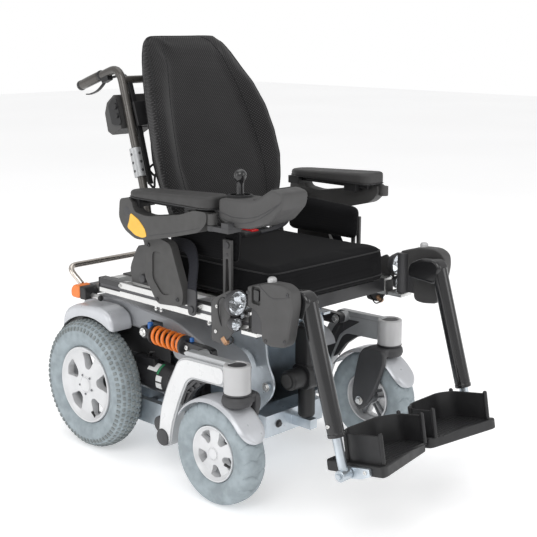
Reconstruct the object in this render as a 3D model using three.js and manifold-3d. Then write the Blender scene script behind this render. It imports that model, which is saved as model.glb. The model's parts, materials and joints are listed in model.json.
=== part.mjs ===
// A rear-wheel-drive power wheelchair with front casters on sprung arms, a tilting seat, a reclining
// back, flip-up armrests, a joystick pod and swing-away legrests.
// Millimetres, +Z up, +X is the user's left and -Y is forward. Most sub-parts come in pairs: each is
// designed on the user's right, where x is negative, and its left twin is the mirror image.
import * as THREE from "three";
import { mergeVertices } from "three/addons/utils/BufferGeometryUtils.js";
import Module from "manifold-3d";

const wasm = await Module();
wasm.setup();

// ---------------------------------------------------------------- driving dimensions
// Design origin: on the floor, midway between the drive wheels, on their axle line.
const DRIVE = { radius: 178, width: 76, rim: 105.5, x: -275 };
const CASTER = { radius: 130, width: 74, rim: 70, x: -290, y: -525, trail: 56 };
const STEER = { x: CASTER.x + 3, y: CASTER.y - CASTER.trail, low: 292, high: 362, radius: 33 };
const ARM = { pivotY: -327, pivotZ: 116, outer: -302, inner: -272, pin: 12 };
const SHOCK = { x: -240, rearY: -190, rearZ: 354, frontY: -437, frontZ: 346, pin: 8 };
const MOTOR = { x: -186, z: 218, radius: 45, rearY: -55, frontY: -300 };
const TILT = { y: 60, z: 425 };
const RAIL = { outer: -268, inner: -242, low: 440, high: 478, rearY: -30, frontY: -600 };
const CUSHION = { half: 215, frontY: -620, rearY: -135, low: 490, high: 576 };
const BACK = { y: -200, z: 500, lean: THREE.MathUtils.degToRad(18.3), cane: 210, caneY: -28 };
const PAD = { outer: -327, inner: -247, frontY: -527, rearY: -222, low: 720, high: 755 };
const POD = { x: -262, rearY: -537, top: 754, stickY: -567 };
const HANGER = { x: -268, y: -634, kneeY: -700, kneeZ: 520, tubeX: -244, tube: 20, rod: 11 };
const TUBE_TOP = { y: -764, z: 545 };
const TUBE_END = { y: -854, z: 245 };
const FOOT = { y: -879, z: 162, pitch: THREE.MathUtils.degToRad(10) };
const ACTUATOR = { y: -540, low: 150, high: 436, radius: 20, rod: 12 };
const GAP = 0.5; // clearance where one sub-part meets another
const BEAD_GAP = 1.2; // keeps the tyre's flat facets off the round rim
const CENTRE_Y = 391.65; // moves the middle of the object's length onto the origin

// ---------------------------------------------------------------- materials
function finish(color, roughness, metalness) {
  return new THREE.MeshStandardMaterial({ color, roughness, metalness });
}
const MATERIAL = {
  tyre: finish(0x98a6ae, 0.9, 0),
  rim: finish(0xd3d5d8, 0.4, 0.5),
  whitePaint: finish(0xe4e5e6, 0.35, 0.1),
  silverPaint: finish(0xb9bfc8, 0.35, 0.4),
  blackMetal: finish(0x1b1b1d, 0.4, 0.4),
  zinc: finish(0xa9b7c4, 0.35, 0.8),
  aluminium: finish(0xc9c9c7, 0.3, 0.9),
  nickel: finish(0xb9b0a6, 0.25, 0.9),
  blackPlastic: finish(0x26262a, 0.6, 0),
  greyPlastic: finish(0x55565a, 0.6, 0),
  orange: finish(0xf0671a, 0.45, 0.1),
  padFoam: finish(0x37383b, 0.7, 0),
  fabric: finish(0x1d1d20, 0.95, 0),
  mesh: finish(0x2c2d30, 0.95, 0),
  webbing: finish(0x26272e, 0.9, 0),
  lamp: finish(0xdfe4e8, 0.1, 0.2),
};

// ---------------------------------------------------------------- solids
// Every shape below is a manifold-3d solid, made from a three.js geometry.
function solidOf(geometry) {
  const bare = geometry.clone();
  bare.deleteAttribute("normal");
  bare.deleteAttribute("uv");
  const merged = mergeVertices(bare, 1e-3);
  const index = merged.index.array;
  const triVerts = [];
  for (let i = 0; i < index.length; i += 3) {
    const [a, b, c] = [index[i], index[i + 1], index[i + 2]];
    if (a !== b && b !== c && a !== c) triVerts.push(a, b, c);
  }
  return new wasm.Manifold(
    new wasm.Mesh({
      numProp: 3,
      vertProperties: merged.attributes.position.array,
      triVerts: new Uint32Array(triVerts),
    }),
  );
}

function geometryOf(solid) {
  const { vertProperties, triVerts } = solid.getMesh();
  const geometry = new THREE.BufferGeometry();
  geometry.setAttribute("position", new THREE.BufferAttribute(vertProperties, 3));
  geometry.setIndex(new THREE.BufferAttribute(triVerts, 1));
  const faceted = geometry.toNonIndexed();
  faceted.computeVertexNormals();
  return faceted;
}

function join(...solids) {
  return solids.reduce((all, one) => all.add(one));
}

function cut(solid, ...holes) {
  return holes.reduce((left, hole) => left.subtract(hole), solid);
}

// A box from its lowest and highest corners.
function box([x0, y0, z0], [x1, y1, z1]) {
  const geometry = new THREE.BoxGeometry(x1 - x0, y1 - y0, z1 - z0);
  geometry.translate((x0 + x1) / 2, (y0 + y1) / 2, (z0 + z1) / 2);
  return solidOf(geometry);
}

// A box given by spans on the side that s names, -1 for the right and 1 for the left.
function sideBox(s, x, y, z) {
  const [x0, x1] = [s * x[0], s * x[1]].sort((a, b) => a - b);
  return box([x0, y[0], z[0]], [x1, y[1], z[1]]);
}

// A straight round bar between two points.
function rod(from, to, radius, sides = 10) {
  const [start, end] = [new THREE.Vector3(...from), new THREE.Vector3(...to)];
  const along = end.clone().sub(start);
  const geometry = new THREE.CylinderGeometry(radius, radius, along.length(), sides);
  const up = new THREE.Vector3(0, 1, 0);
  const turn = new THREE.Quaternion().setFromUnitVectors(up, along.normalize());
  geometry.applyQuaternion(turn);
  const middle = start.add(end).multiplyScalar(0.5);
  geometry.translate(middle.x, middle.y, middle.z);
  return solidOf(geometry);
}

// A turned shape: the profile is [radius, distance along the axis], and the axis passes through centre.
function turned(axis, centre, profile, sides = 12) {
  const points = profile.map(([r, a]) => new THREE.Vector2(r, a));
  const geometry = new THREE.LatheGeometry(points, sides);
  if (axis === "x") geometry.rotateZ(-Math.PI / 2);
  if (axis === "z") geometry.rotateX(Math.PI / 2);
  geometry.translate(...centre);
  return solidOf(geometry);
}

// An outline whose corners are rounded off with the given radius.
function rounded(points, radius) {
  const shape = new THREE.Shape();
  const corners = points.map(([u, v]) => new THREE.Vector2(u, v));
  corners.forEach((corner, i) => {
    const before = corners[(i + corners.length - 1) % corners.length];
    const after = corners[(i + 1) % corners.length];
    const reach = Math.min(radius, before.distanceTo(corner) / 2.1, after.distanceTo(corner) / 2.1);
    const start = before.clone().sub(corner).setLength(reach).add(corner);
    const end = after.clone().sub(corner).setLength(reach).add(corner);
    if (i === 0) shape.moveTo(start.x, start.y);
    else shape.lineTo(start.x, start.y);
    shape.quadraticCurveTo(corner.x, corner.y, end.x, end.y);
  });
  shape.closePath();
  return shape;
}

// A flat plate: the outline lies across the axis, as (y, z) for x, (x, z) for y and (x, y) for z.
function plate(axis, shape, from, to, bevel = 0, curveSegments = 2) {
  const geometry = new THREE.ExtrudeGeometry(shape, {
    depth: to - from - 2 * bevel,
    bevelEnabled: bevel > 0,
    bevelThickness: bevel,
    bevelSize: bevel,
    bevelOffset: -bevel,
    bevelSegments: 1,
    curveSegments,
  });
  geometry.translate(0, 0, bevel);
  const basis = new THREE.Matrix4();
  const [X, Y, Z] = [
    new THREE.Vector3(1, 0, 0),
    new THREE.Vector3(0, 1, 0),
    new THREE.Vector3(0, 0, 1),
  ];
  if (axis === "x") basis.makeBasis(Y, Z, X).setPosition(from, 0, 0);
  if (axis === "y") basis.makeBasis(X, Z, Y.clone().negate()).setPosition(0, to, 0);
  if (axis === "z") basis.makeBasis(X, Y, Z).setPosition(0, 0, from);
  geometry.applyMatrix4(basis);
  return solidOf(geometry);
}

// A round tube along a route of straight runs with rounded bends.
function pipe(route, radius, bend, steps, sides = 10) {
  const points = route.map((p) => new THREE.Vector3(...p));
  const path = new THREE.CurvePath();
  let start = points[0];
  points.slice(1, -1).forEach((corner, i) => {
    const into = points[i].clone().sub(corner).setLength(bend).add(corner);
    const out = points[i + 2].clone().sub(corner).setLength(bend).add(corner);
    path.add(new THREE.LineCurve3(start, into));
    path.add(new THREE.QuadraticBezierCurve3(into, corner, out));
    start = out;
  });
  path.add(new THREE.LineCurve3(start, points.at(-1)));
  const section = new THREE.Shape().absarc(0, 0, radius, 0, 2 * Math.PI);
  return solidOf(
    new THREE.ExtrudeGeometry(section, { steps, extrudePath: path, curveSegments: sides / 2 }),
  );
}

// Moves a solid that was designed around a pivot, turned about X, out to the pivot's place.
function placed(solid, y, z, angle) {
  const geometry = geometryOf(solid);
  geometry.rotateX(angle);
  geometry.translate(0, y, z);
  return solidOf(geometry);
}

// ---------------------------------------------------------------- scene graph
const chair = new THREE.Group();
chair.position.y = CENTRE_Y;
const rightSide = new THREE.Group();
const leftSide = new THREE.Group();
leftSide.scale.x = -1;
chair.add(rightSide, leftSide);

function add(name, solid, material, parent = chair) {
  const mesh = new THREE.Mesh(geometryOf(solid), material);
  mesh.name = name;
  parent.add(mesh);
}

function addPair(name, solid, material) {
  add(name + "_right", solid, material, rightSide);
  add(name + "_left", solid, material, leftSide);
}

// ---------------------------------------------------------------- wheels
function tyre(centre, { radius, width, rim }, sides) {
  const half = width / 2;
  const bead = rim + BEAD_GAP;
  const profile = [
    [bead, -0.6 * half],
    [bead + 0.3 * (radius - bead), -half],
    [bead + 0.78 * (radius - bead), -0.9 * half],
    [radius - 2, -0.5 * half],
    [radius, 0],
    [radius - 2, 0.5 * half],
    [bead + 0.78 * (radius - bead), 0.9 * half],
    [bead + 0.3 * (radius - bead), half],
    [bead, 0.6 * half],
    [bead, -0.6 * half],
  ];
  return turned("x", centre, profile, sides);
}

// A dished wheel centre with five windows; its outer face looks towards -X.
function rim(centre, radius, half, hub, sides) {
  const profile = [
    [0, -half],
    [hub, -half],
    [0.6 * radius, -0.78 * half],
    [0.9 * radius, -0.86 * half],
    [radius, -half - 3],
    [radius, half],
    [0.93 * radius, half],
    [0.84 * radius, -0.42 * half],
    [hub, -0.36 * half],
    [hub, 0.7 * half],
    [0, 0.7 * half],
  ];
  const body = turned("x", centre, profile, sides);
  const windows = Array.from({ length: 5 }, (_, i) => {
    const angle = (i * 2 * Math.PI) / 5 + Math.PI / 2;
    const corner = (r, turn) => [
      centre[1] + r * Math.cos(angle + turn),
      centre[2] + r * Math.sin(angle + turn),
    ];
    const outline = [corner(1.35 * hub, -0.24), corner(0.8 * radius, -0.38)];
    outline.push(corner(0.8 * radius, 0.38), corner(1.35 * hub, 0.24));
    const shape = new THREE.Shape(outline.map(([y, z]) => new THREE.Vector2(y, z)));
    return plate("x", shape, centre[0] - half - 10, centre[0] - 0.05 * half, 0);
  });
  return cut(body, ...windows);
}

function driveWheels() {
  const centre = [DRIVE.x, 0, DRIVE.radius];
  addPair("drive_tyre", tyre(centre, DRIVE, 28), MATERIAL.tyre);
  const shaftBore = rod([DRIVE.x - 12, 0, DRIVE.radius], [DRIVE.x + 40, 0, DRIVE.radius], 10.6);
  const wheelCentre = rim(centre, DRIVE.rim, 30, 27, 18);
  addPair("drive_rim", cut(wheelCentre, shaftBore), MATERIAL.rim);
}

function casterWheels() {
  const centre = [CASTER.x, CASTER.y, CASTER.radius];
  addPair("caster_tyre", tyre(centre, CASTER, 24), MATERIAL.tyre);
  const axle = [CASTER.x - 20, CASTER.y, CASTER.radius];
  const axleEnd = [CASTER.x + 40, CASTER.y, CASTER.radius];
  const wheelCentre = rim(centre, CASTER.rim, 27, 19, 16);
  addPair("caster_rim", cut(wheelCentre, rod(axle, axleEnd, 8.6)), MATERIAL.rim);
}

// ---------------------------------------------------------------- caster suspension
function casterArm() {
  const outline = rounded(
    [
      [-302, 92],
      [-316, 190],
      [-343, 258],
      [-386, 334],
      [-414, 347],
      [-570, 352],
      [-570, 300],
      [-440, 296],
      [-420, 282],
      [-392, 225],
      [-366, 160],
      [-352, 92],
    ],
    20,
  );
  const beam = plate("x", outline, ARM.outer, ARM.inner);
  const { x, y, low, high, radius } = STEER;
  const barrelProfile = [
    [0, low],
    [radius, low],
    [radius, high - 3],
    [radius - 3, high],
    [23, high],
    [23, high - 3],
    [0, high - 1],
  ];
  const barrel = turned("z", [x, y, 0], barrelProfile, 16);
  const stemBore = rod([x, y, low - 1], [x, y, high - 10], 13, 16);
  const lug = rod([-290, SHOCK.frontY, SHOCK.frontZ], [-252.5, SHOCK.frontY, SHOCK.frontZ], 15);
  const lugPin = rod(
    [-253, SHOCK.frontY, SHOCK.frontZ],
    [-229, SHOCK.frontY, SHOCK.frontZ],
    SHOCK.pin,
  );
  const cap = rod([-307, ARM.pivotY, ARM.pivotZ], [-300, ARM.pivotY, ARM.pivotZ], 22, 14);
  const pinBore = rod(
    [ARM.outer + 4, ARM.pivotY, ARM.pivotZ],
    [ARM.inner + 5, ARM.pivotY, ARM.pivotZ],
    ARM.pin + GAP,
    16,
  );
  addPair(
    "caster_arm",
    cut(join(beam, barrel, lug, lugPin, cap), stemBore, pinBore),
    MATERIAL.whitePaint,
  );
}

// Damper body with its rear eye, piston rod with the front link plate, and the coil spring between.
function shock() {
  const { x, rearY, rearZ, frontY, frontZ, pin } = SHOCK;
  const slope = (frontZ - rearZ) / (frontY - rearY);
  const at = (y) => [x, y, rearZ + slope * (y - rearY)];
  const eye = (y, z, bore) =>
    turned("x", [x, y, z], [
      [bore, -11],
      [17, -11],
      [17, 11],
      [bore, 11],
      [bore, -11],
    ]);
  const cylinder = join(
    eye(rearY, rearZ, pin + GAP),
    rod(at(rearY - 13), at(rearY - 110), 13),
    rod(at(rearY - 30), at(rearY - 37), 25, 16),
    box([x - 8, rearY - 24, rearZ + 8], [x + 8, rearY - 12, rearZ + 22]),
  );
  const rodBore = rod(at(rearY - 24), at(rearY - 112), 8);
  const eyeBore = rod([x - 12, rearY, rearZ], [x + 12, rearY, rearZ], pin + GAP);
  addPair("shock_body", cut(cylinder, rodBore, eyeBore), MATERIAL.blackMetal);

  const linkOutline = rounded(
    [
      [frontY + 84, frontZ - 14],
      [frontY - 16, frontZ - 14],
      [frontY - 16, frontZ + 14],
      [frontY + 84, frontZ + 15],
    ],
    9,
  );
  const piston = join(
    rod(at(rearY - 74), at(frontY + 80), 7.4),
    rod(at(rearY - 150), at(rearY - 157), 25, 16),
    plate("x", linkOutline, x - 9, x + 9),
  );
  const openBore = rod([x - 12, frontY, frontZ], [x + 12, frontY, frontZ], pin + 3);
  addPair("shock_rod", cut(piston, openBore), MATERIAL.blackMetal);

  class Coil extends THREE.Curve {
    getPoint(t) {
      const turn = t * 5 * 2 * Math.PI;
      const [, y, z] = at(rearY - 42 - 103 * t);
      return new THREE.Vector3(x + 21 * Math.cos(turn), y, z + 21 * Math.sin(turn));
    }
  }
  const wire = new THREE.Shape().absarc(0, 0, 4.4, 0, 2 * Math.PI);
  const coil = new THREE.ExtrudeGeometry(wire, {
    steps: 40,
    extrudePath: new Coil(),
    curveSegments: 3,
  });
  addPair("shock_spring", solidOf(coil), MATERIAL.orange);
}

// A single-sided fork on the wheel's inner side, with the mudguard that it carries.
function casterFork() {
  const { x, y, low } = STEER;
  const innerFace = CASTER.x + CASTER.width / 2 + 5;
  const crownTop = low - 4;
  const dome = turned("z", [x, y, 0], [
    [0, crownTop - 26],
    [30, crownTop - 26],
    [37, crownTop - 18],
    [35, crownTop - 6],
    [26, crownTop],
    [15, crownTop],
    [15, low - 1],
    [12.4, low - 1],
    [12.4, low + 52],
    [0, low + 52],
  ]);
  const crownOutline = rounded(
    [
      [x - 20, y - 24],
      [innerFace + 16, y - 24],
      [innerFace + 16, y + 46],
      [x + 6, y + 34],
    ],
    16,
  );
  const crown = plate("z", crownOutline, crownTop - 20, crownTop);
  const armOutline = rounded(
    [
      [y - 24, crownTop],
      [y - 20, crownTop - 50],
      [y + 10, 160],
      [CASTER.y - 24, 118],
      [CASTER.y, 104],
      [CASTER.y + 24, 118],
      [CASTER.y + 24, 150],
      [y + 62, 220],
      [y + 46, crownTop],
    ],
    14,
  );
  const arm = plate("x", armOutline, innerFace, innerFace + 16);
  const { radius } = CASTER;
  const axle = rod([CASTER.x - 10, CASTER.y, radius], [innerFace + 18, CASTER.y, radius], 8);
  const [guardIn, guardOut] = [radius + 4, radius + 8];
  const guard = new THREE.Shape();
  const [rearAngle, frontAngle] = [0.21 * Math.PI, 0.79 * Math.PI];
  guard.absarc(CASTER.y, radius, guardOut, rearAngle, frontAngle, false);
  guard.absarc(CASTER.y, radius, guardIn, frontAngle, rearAngle, true);
  guard.closePath();
  const mudguard = plate("x", guard, CASTER.x - 41, innerFace + 2, 0, 9);
  addPair("caster_fork", join(dome, crown, arm, axle, mudguard), MATERIAL.blackPlastic);
}

// ---------------------------------------------------------------- base
function chassis() {
  const wall = 6;
  const tray = [
    box([-150, -432, 90], [150, 140, 98]),
    box([-150, -432, 90], [-150 + wall, 140, 165]),
    box([150 - wall, -432, 90], [150, 140, 165]),
    box([-150, 134, 90], [150, 140, 165]),
    box([-150, -438, 90], [150, -432, 160]),
  ];
  const frontBox = box([-108, -500, 105], [108, -431, 163]);
  const actuatorLug = box([-13, -566, 120], [13, -499, 146]);
  const sides = [-1, 1].flatMap((s) => {
    const block = (x, y, z) => sideBox(s, x, y, z);
    const rail = block([214, 232], [-362, -72], [96, 160]);
    const outriggers = [-345, -110].map((y) => block([148, 216], [y - 14, y + 14], [100, 128]));
    const upright = block([130, 137], [-226, -160], [95, 372]);
    const shockArm = block([134, 225.5], [-206, -174], [338, 368]);
    const shockPin = rod(
      [s * 224, SHOCK.rearY, SHOCK.rearZ],
      [s * 252, SHOCK.rearY, SHOCK.rearZ],
      SHOCK.pin,
    );
    const armPin = rod(
      [s * 222, ARM.pivotY, ARM.pivotZ],
      [s * 297, ARM.pivotY, ARM.pivotZ],
      ARM.pin,
    );
    const bumpStop = rod([s * 222, -272, 126], [s * 269, -272, 126], 21, 12);
    const motorSeat = block([180, 187], [-50, 62], [92, 250]);
    const motorFoot = block([148, 182], [-30, 40], [92, 110]);
    const seatUpright = block([116, 126], [36, 84], [95, 402]);
    return [
      rail, ...outriggers, upright, shockArm, shockPin, armPin, bumpStop,
      motorSeat, motorFoot, seatUpright,
    ];
  });
  add("chassis_frame", join(...tray, frontBox, actuatorLug, ...sides), MATERIAL.zinc);
}

// Two monoblock batteries strapped together, end to end.
function batteries() {
  const block = (rear, front) => {
    const outline = rounded([[-126, front], [126, front], [126, rear], [-126, rear]], 8);
    return plate("z", outline, 99, 272, 2);
  };
  const strap = box([-127.5, -140, 99], [127.5, -116, 274]);
  const terminals = [-1, 1].map((s) => box([s * 90 - 14, -30, 271], [s * 90 + 14, -8, 286]));
  add(
    "battery_pack",
    join(block(24, -127), block(-129, -284), strap, ...terminals),
    MATERIAL.blackPlastic,
  );
}

// The lid over the batteries: a thin shell, open below, with slots for what stands up through it.
function baseCover() {
  const skin = (inset, low) =>
    rounded(
      [
        [-256 - inset, low],
        [-236 - inset, low + 56],
        [146 - inset, low + 56],
        [138 - inset, 372 - inset],
        [70, 404 - inset],
        [-60, 404 - inset],
        [-262, 388 - inset],
        [-446 + inset, 322 - inset],
        [-470 + inset, low],
      ],
      18,
    );
  const shell = cut(
    plate("x", skin(0, 284), -204, 204, 4),
    plate("x", skin(5, 270), -199, 199, 0),
  );
  const towerNotch = box([-122, -520, 250], [122, -286, 420]);
  const slots = [-1, 1].flatMap((s) => [
    box([s * 121 - 10, 30, 250], [s * 121 + 10, 90, 420]),
    box([s * 205 - 14, -214, 250], [s * 205 + 14, -166, 376]),
  ]);
  add("base_cover", cut(shell, towerNotch, ...slots), MATERIAL.silverPaint);
}

// The guard covers the inner half of the tyre, from behind it to just past its top, under a rounded bonnet.
function fenders() {
  const [inner, outer] = [DRIVE.radius + 6, DRIVE.radius + 11];
  const [innerX, outerX] = [-207, -276];
  const z = DRIVE.radius;
  const liner = new THREE.Shape();
  const [rearAngle, frontAngle] = [-0.06 * Math.PI, 0.6 * Math.PI];
  liner.absarc(0, z, outer, rearAngle, frontAngle, false);
  liner.absarc(0, z, inner, frontAngle, rearAngle, true);
  liner.closePath();
  const bonnet = rounded(
    [
      [132, 296],
      [122, 362],
      [62, 393],
      [-48, 398],
      [-92, 378],
      [-98, 330],
    ],
    26,
  );
  const wheelSpace = rod([-340, 0, z], [-200, 0, z], inner + 2, 36);
  const bonnetSolid = cut(
    plate("x", bonnet, -284, innerX),
    wheelSpace,
    box([-279, -86, 250], [innerX - 6, 112, 366]),
  );
  addPair(
    "fender",
    join(plate("x", liner, outerX, innerX, 0, 11), bonnetSolid),
    MATERIAL.silverPaint,
  );
}

function driveMotors() {
  const { x, z, radius, rearY, frontY } = MOTOR;
  const hubZ = DRIVE.radius;
  const gearbox = turned("x", [0, 0, hubZ], [
    [0, -262],
    [10, -262],
    [10, -253],
    [40, -253],
    [58, -246],
    [60, -236],
    [60, -190],
    [0, -190],
  ]);
  const can = turned("y", [x, 0, z], [
    [0, frontY - 14],
    [26, frontY - 14],
    [36, frontY - 6],
    [radius - 3, frontY],
    [radius, frontY + 4],
    [radius, frontY + 44],
    [radius - 2, frontY + 46],
    [radius - 2, rearY - 60],
    [radius, rearY - 58],
    [radius, rearY],
    [0, rearY],
  ]);
  const terminalBox = box([x - 30, -190, z + 30], [x + 30, -110, z + radius + 8]);
  addPair("drive_motor", join(gearbox, can, terminalBox), MATERIAL.blackMetal);
}

// Folded side plates, with a top plate, that carry the front of the seat.
function seatTower() {
  const outline = () =>
    rounded(
      [
        [-524, 226],
        [-532, 262],
        [-506, 306],
        [-494, 397],
        [-296, 397],
        [-296, 166],
        [-470, 166],
      ],
      18,
    );
  const plates = [-1, 1].map((s) => plate("x", outline(), s * 108 - 3, s * 108 + 3));
  const bolts = [-1, 1].map((s) => rod([s * 104, -508, 247], [s * 116, -508, 247], 9));
  const top = box([-110, -490, 391], [110, -300, 397]);
  const rearPlate = box([-110, -302, 200], [110, -296, 396]);
  const flanges = [-1, 1].map((s) => {
    const [x0, x1] = s < 0 ? [-134, -108] : [108, 134];
    return box([x0, -500, 391], [x1, -420, 397]);
  });
  add("seat_tower", join(...plates, ...bolts, top, rearPlate, ...flanges), MATERIAL.zinc);
}

function tiltActuator() {
  const { y, low, high, radius, rod: rodRadius } = ACTUATOR;
  const outer = join(
    turned("z", [0, y, 0], [
      [0, low],
      [radius, low],
      [radius + 2, low + 6],
      [radius + 2, low + 70],
      [radius, low + 74],
      [radius, high - 36],
      [rodRadius + GAP, high - 36],
      [rodRadius + GAP, low + 16],
      [0, low + 16],
    ]),
    rod([-74, y - 4, 262], [0, y - 4, 262], 27, 16),
    rod([-80, y - 4, 262], [-72, y - 4, 262], 24, 16),
    box([-27, y - 30, 292], [27, y + 22, high - 46]),
  );
  const clear = rod([0, y, low + 17], [0, y, high], rodRadius + GAP);
  add("tilt_actuator_housing", cut(outer, clear), MATERIAL.blackPlastic);
  const inner = join(
    rod([0, y, low + 22], [0, y, high - 12], rodRadius),
    rod([-12, y, high - 12], [12, y, high - 12], 12),
  );
  add("tilt_actuator_rod", inner, MATERIAL.aluminium);
}

// ---------------------------------------------------------------- seat
function seatFrame() {
  const { outer, inner, low, high, rearY, frontY } = RAIL;
  const sides = [-1, 1].flatMap((s) => {
    const block = (x, y, z) => sideBox(s, x, y, z);
    const rail = cut(
      block([-inner, -outer], [frontY, rearY], [low, high]),
      block([-outer - 4, -outer + 4], [frontY - 1, rearY + 1], [low + 15, high - 15]),
    );
    const tail = rounded([[-60, 442], [-60, 476], [40, 440], [78, 425], [60, 411], [-20, 430]], 8);
    const [t0, t1] = s < 0 ? [-241, -233] : [233, 241];
    const tailPlate = plate("x", tail, t0, t1);
    const tailBore = rod([s * 230, TILT.y, TILT.z], [s * 243, TILT.y, TILT.z], 8.6);
    const tailLink = block([238, 244], [-60, -32], [442, 476]);
    const hangerTab = block([245, 290], [-648, -598], [440, 449]);
    const hangerPin = rod([s * -HANGER.x, HANGER.y, 445], [s * -HANGER.x, HANGER.y, 500], 8);
    const backPlate = rounded(
      [
        [-150, 470],
        [-140, 520],
        [-176, 586],
        [-212, 586],
        [-240, 470],
      ],
      14,
    );
    const [p0, p1] = s < 0 ? [-250, -242.5] : [242.5, 250];
    const hingeBore = rod([s * 240, BACK.y, BACK.z], [s * 252, BACK.y, BACK.z], 7.6);
    const strutSlot = rounded([[-505, 492], [-491, 492], [-494, 594], [-502, 594]], 3);
    const [slot0, slot1] = s < 0 ? [-242, -230] : [230, 242];
    const padStrut = cut(
      block([232, 240], [-512, -484], [470, 640]),
      plate("x", strutSlot, slot0, slot1),
    );
    return [
      rail, cut(tailPlate, tailBore), tailLink, hangerTab, hangerPin,
      cut(plate("x", backPlate, p0, p1), hingeBore),
      padStrut,
      block([242.5, 250], [-238, -152], [466, 490]),
      block([231, 243], [-512, -484], [466, 482]),
    ];
  });
  const crossMembers = [
    box([-264, -600, 452], [264, -572, 486]),
    box([-244, -60, 448], [244, -32, 474]),
    box([-244, -330, 456], [244, -300, 480]),
  ];
  const pan = cut(
    box([-213, -600, 479], [213, -62, 486]),
    ...[-150, -75, 0, 75, 150].map((x) => box([x - 12, -520, 470], [x + 12, -380, 490])),
  );
  const actuatorEars = [-22, 16].map((x) =>
    box([x, ACTUATOR.y - 16, 414], [x + 6, ACTUATOR.y + 16, 482]),
  );
  const earBridge = box([-22, ACTUATOR.y - 16, 448], [22, ACTUATOR.y + 16, 482]);
  add(
    "seat_frame",
    join(...sides, ...crossMembers, pan, ...actuatorEars, earBridge),
    MATERIAL.aluminium,
  );
}

// The lateral beam that the seat tilts about, with a rounded cap at each end.
function rearBeam() {
  const { y, z } = TILT;
  const beam = plate(
    "x",
    rounded([[y - 14, z - 14], [y + 14, z - 14], [y + 14, z + 14], [y - 14, z + 14]], 4),
    -231,
    231,
    1,
    2,
  );
  const stubs = [-1, 1].map((s) => rod([s * 225, y, z], [s * 246, y, z], 8));
  const capOutline = rounded(
    [
      [y - 46, z - 17],
      [y + 20, z - 17],
      [y + 20, z + 8],
      [y + 4, z + 21],
      [y - 46, z + 19],
    ],
    12,
  );
  const caps = [[-284, -242], [242, 284]].map(([x0, x1]) => plate("x", capOutline, x0, x1));
  const stays = [-1, 1].map((s) => rod([s * 259, y - 40, z - 6], [s * 259, y - 84, z - 8], 7));
  add("rear_cross_beam", join(beam, ...stubs, ...caps, ...stays), MATERIAL.blackMetal);
}

function guardBar() {
  const { y, z } = TILT;
  const [foot, top] = [z + 18, z + 62];
  const side = [
    [-258, y + 4, foot],
    [-272, y + 48, top],
  ];
  const mirrored = side.map(([x, ...rest]) => [-x, ...rest]).reverse();
  const seats = box([-290, y - 50, z - 20], [290, y + 30, z + 21.6]);
  add("rear_guard_bar", cut(pipe([...side, ...mirrored], 8, 34, 26, 8), seats), MATERIAL.nickel);
}

function seatCushion() {
  const { half, frontY, rearY, low, high } = CUSHION;
  const outline = rounded([[-half, frontY], [half, frontY], [half, rearY], [-half, rearY]], 28);
  add("seat_cushion", plate("z", outline, low, high, 14), MATERIAL.fabric);
}

// Flat-lying webbing with its buckle; the webbing is a plain round solid here.
function lapBelt() {
  const half = [
    [-277, -402, 462],
    [-276, -402, 520],
    [-248, -372, 600],
    [-238, -268, 610],
    [-206, -246, 588],
    [-120, -262, 583],
  ];
  const other = half.map(([x, ...rest]) => [-x, ...rest]).reverse();
  const webbing = pipe([...half, ...other], 4.5, 10, 38, 6);
  const bolts = [-1, 1].map((s) => rod([s * 270, -402, 462], [s * 284, -402, 462], 9));
  const buckle = box([22, -292, 577.5], [92, -232, 597]);
  add("lap_belt", join(webbing, ...bolts, buckle), MATERIAL.webbing);
}

// ---------------------------------------------------------------- back
// The back is drawn upright around its hinge and then leaned back, so y and z here start at the hinge.
function leaned(solid) {
  return placed(solid, BACK.y, BACK.z, -BACK.lean);
}

function backFrame() {
  const { cane, caneY } = BACK;
  const uprights = [-1, 1].flatMap((s) => [
    pipe(
      [
        [s * (cane + 17.5), caneY, -18],
        [s * (cane + 16), caneY, 90],
        [s * cane, caneY, 215],
        [s * (cane - 10), caneY, 550],
        [s * (cane - 12), 148, 552],
      ],
      11,
      34,
      26,
      8,
    ),
    rod([s * (cane - 12), 70, 551.2], [s * (cane - 12), 152, 552], 14.5),
    rod([s * (cane + 1), caneY, 262], [s * (cane - 1), caneY, 330], 15),
    box(
      [s < 0 ? -cane - 28 : cane + 7, caneY - 12, -24],
      [s < 0 ? -cane - 7 : cane + 28, 13, 14],
    ),
    rod([s * (cane + 20), 0, 0], [s * (cane + 39), 0, 0], 7),
  ]);
  const crossBar = rod([-cane + 6, caneY, 515], [cane - 6, caneY, 515], 10);
  const lowerBar = rod([-cane - 4, caneY, 115], [cane + 4, caneY, 115], 10);
  add("back_frame", leaned(join(...uprights, crossBar, lowerBar)), MATERIAL.blackMetal);
}

// The back's outline is narrow at the top and widest at the ribs.
function backOutline(inset) {
  const right = [
    [178, 92],
    [203, 150],
    [213, 262],
    [196, 400],
    [172, 520],
    [150, 596],
    [118, 620],
  ];
  const half = right.map(([x, z]) => [x - inset, z < 300 ? z + inset : z - inset]);
  const other = half.map(([x, z]) => [-x, z]).reverse();
  return rounded([...half, ...other], 40);
}

// Half sections of the cushion at rising heights: height, half width in front and behind, and the
// depth of the side bolster's crest and of the flat middle.
const BACK_SECTIONS = [
  [92, 165, 156, -105, -100],
  [130, 190, 172, -112, -102],
  [200, 206, 182, -125, -104],
  [262, 212, 186, -134, -104],
  [330, 207, 182, -138, -103],
  [400, 197, 175, -136, -102],
  [470, 180, 166, -125, -100],
  [520, 164, 158, -112, -97],
  [570, 150, 146, -98, -92],
  [600, 138, 134, -88, -86],
  [620, 116, 112, -80, -79],
];
const BACK_REAR = -55;

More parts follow.
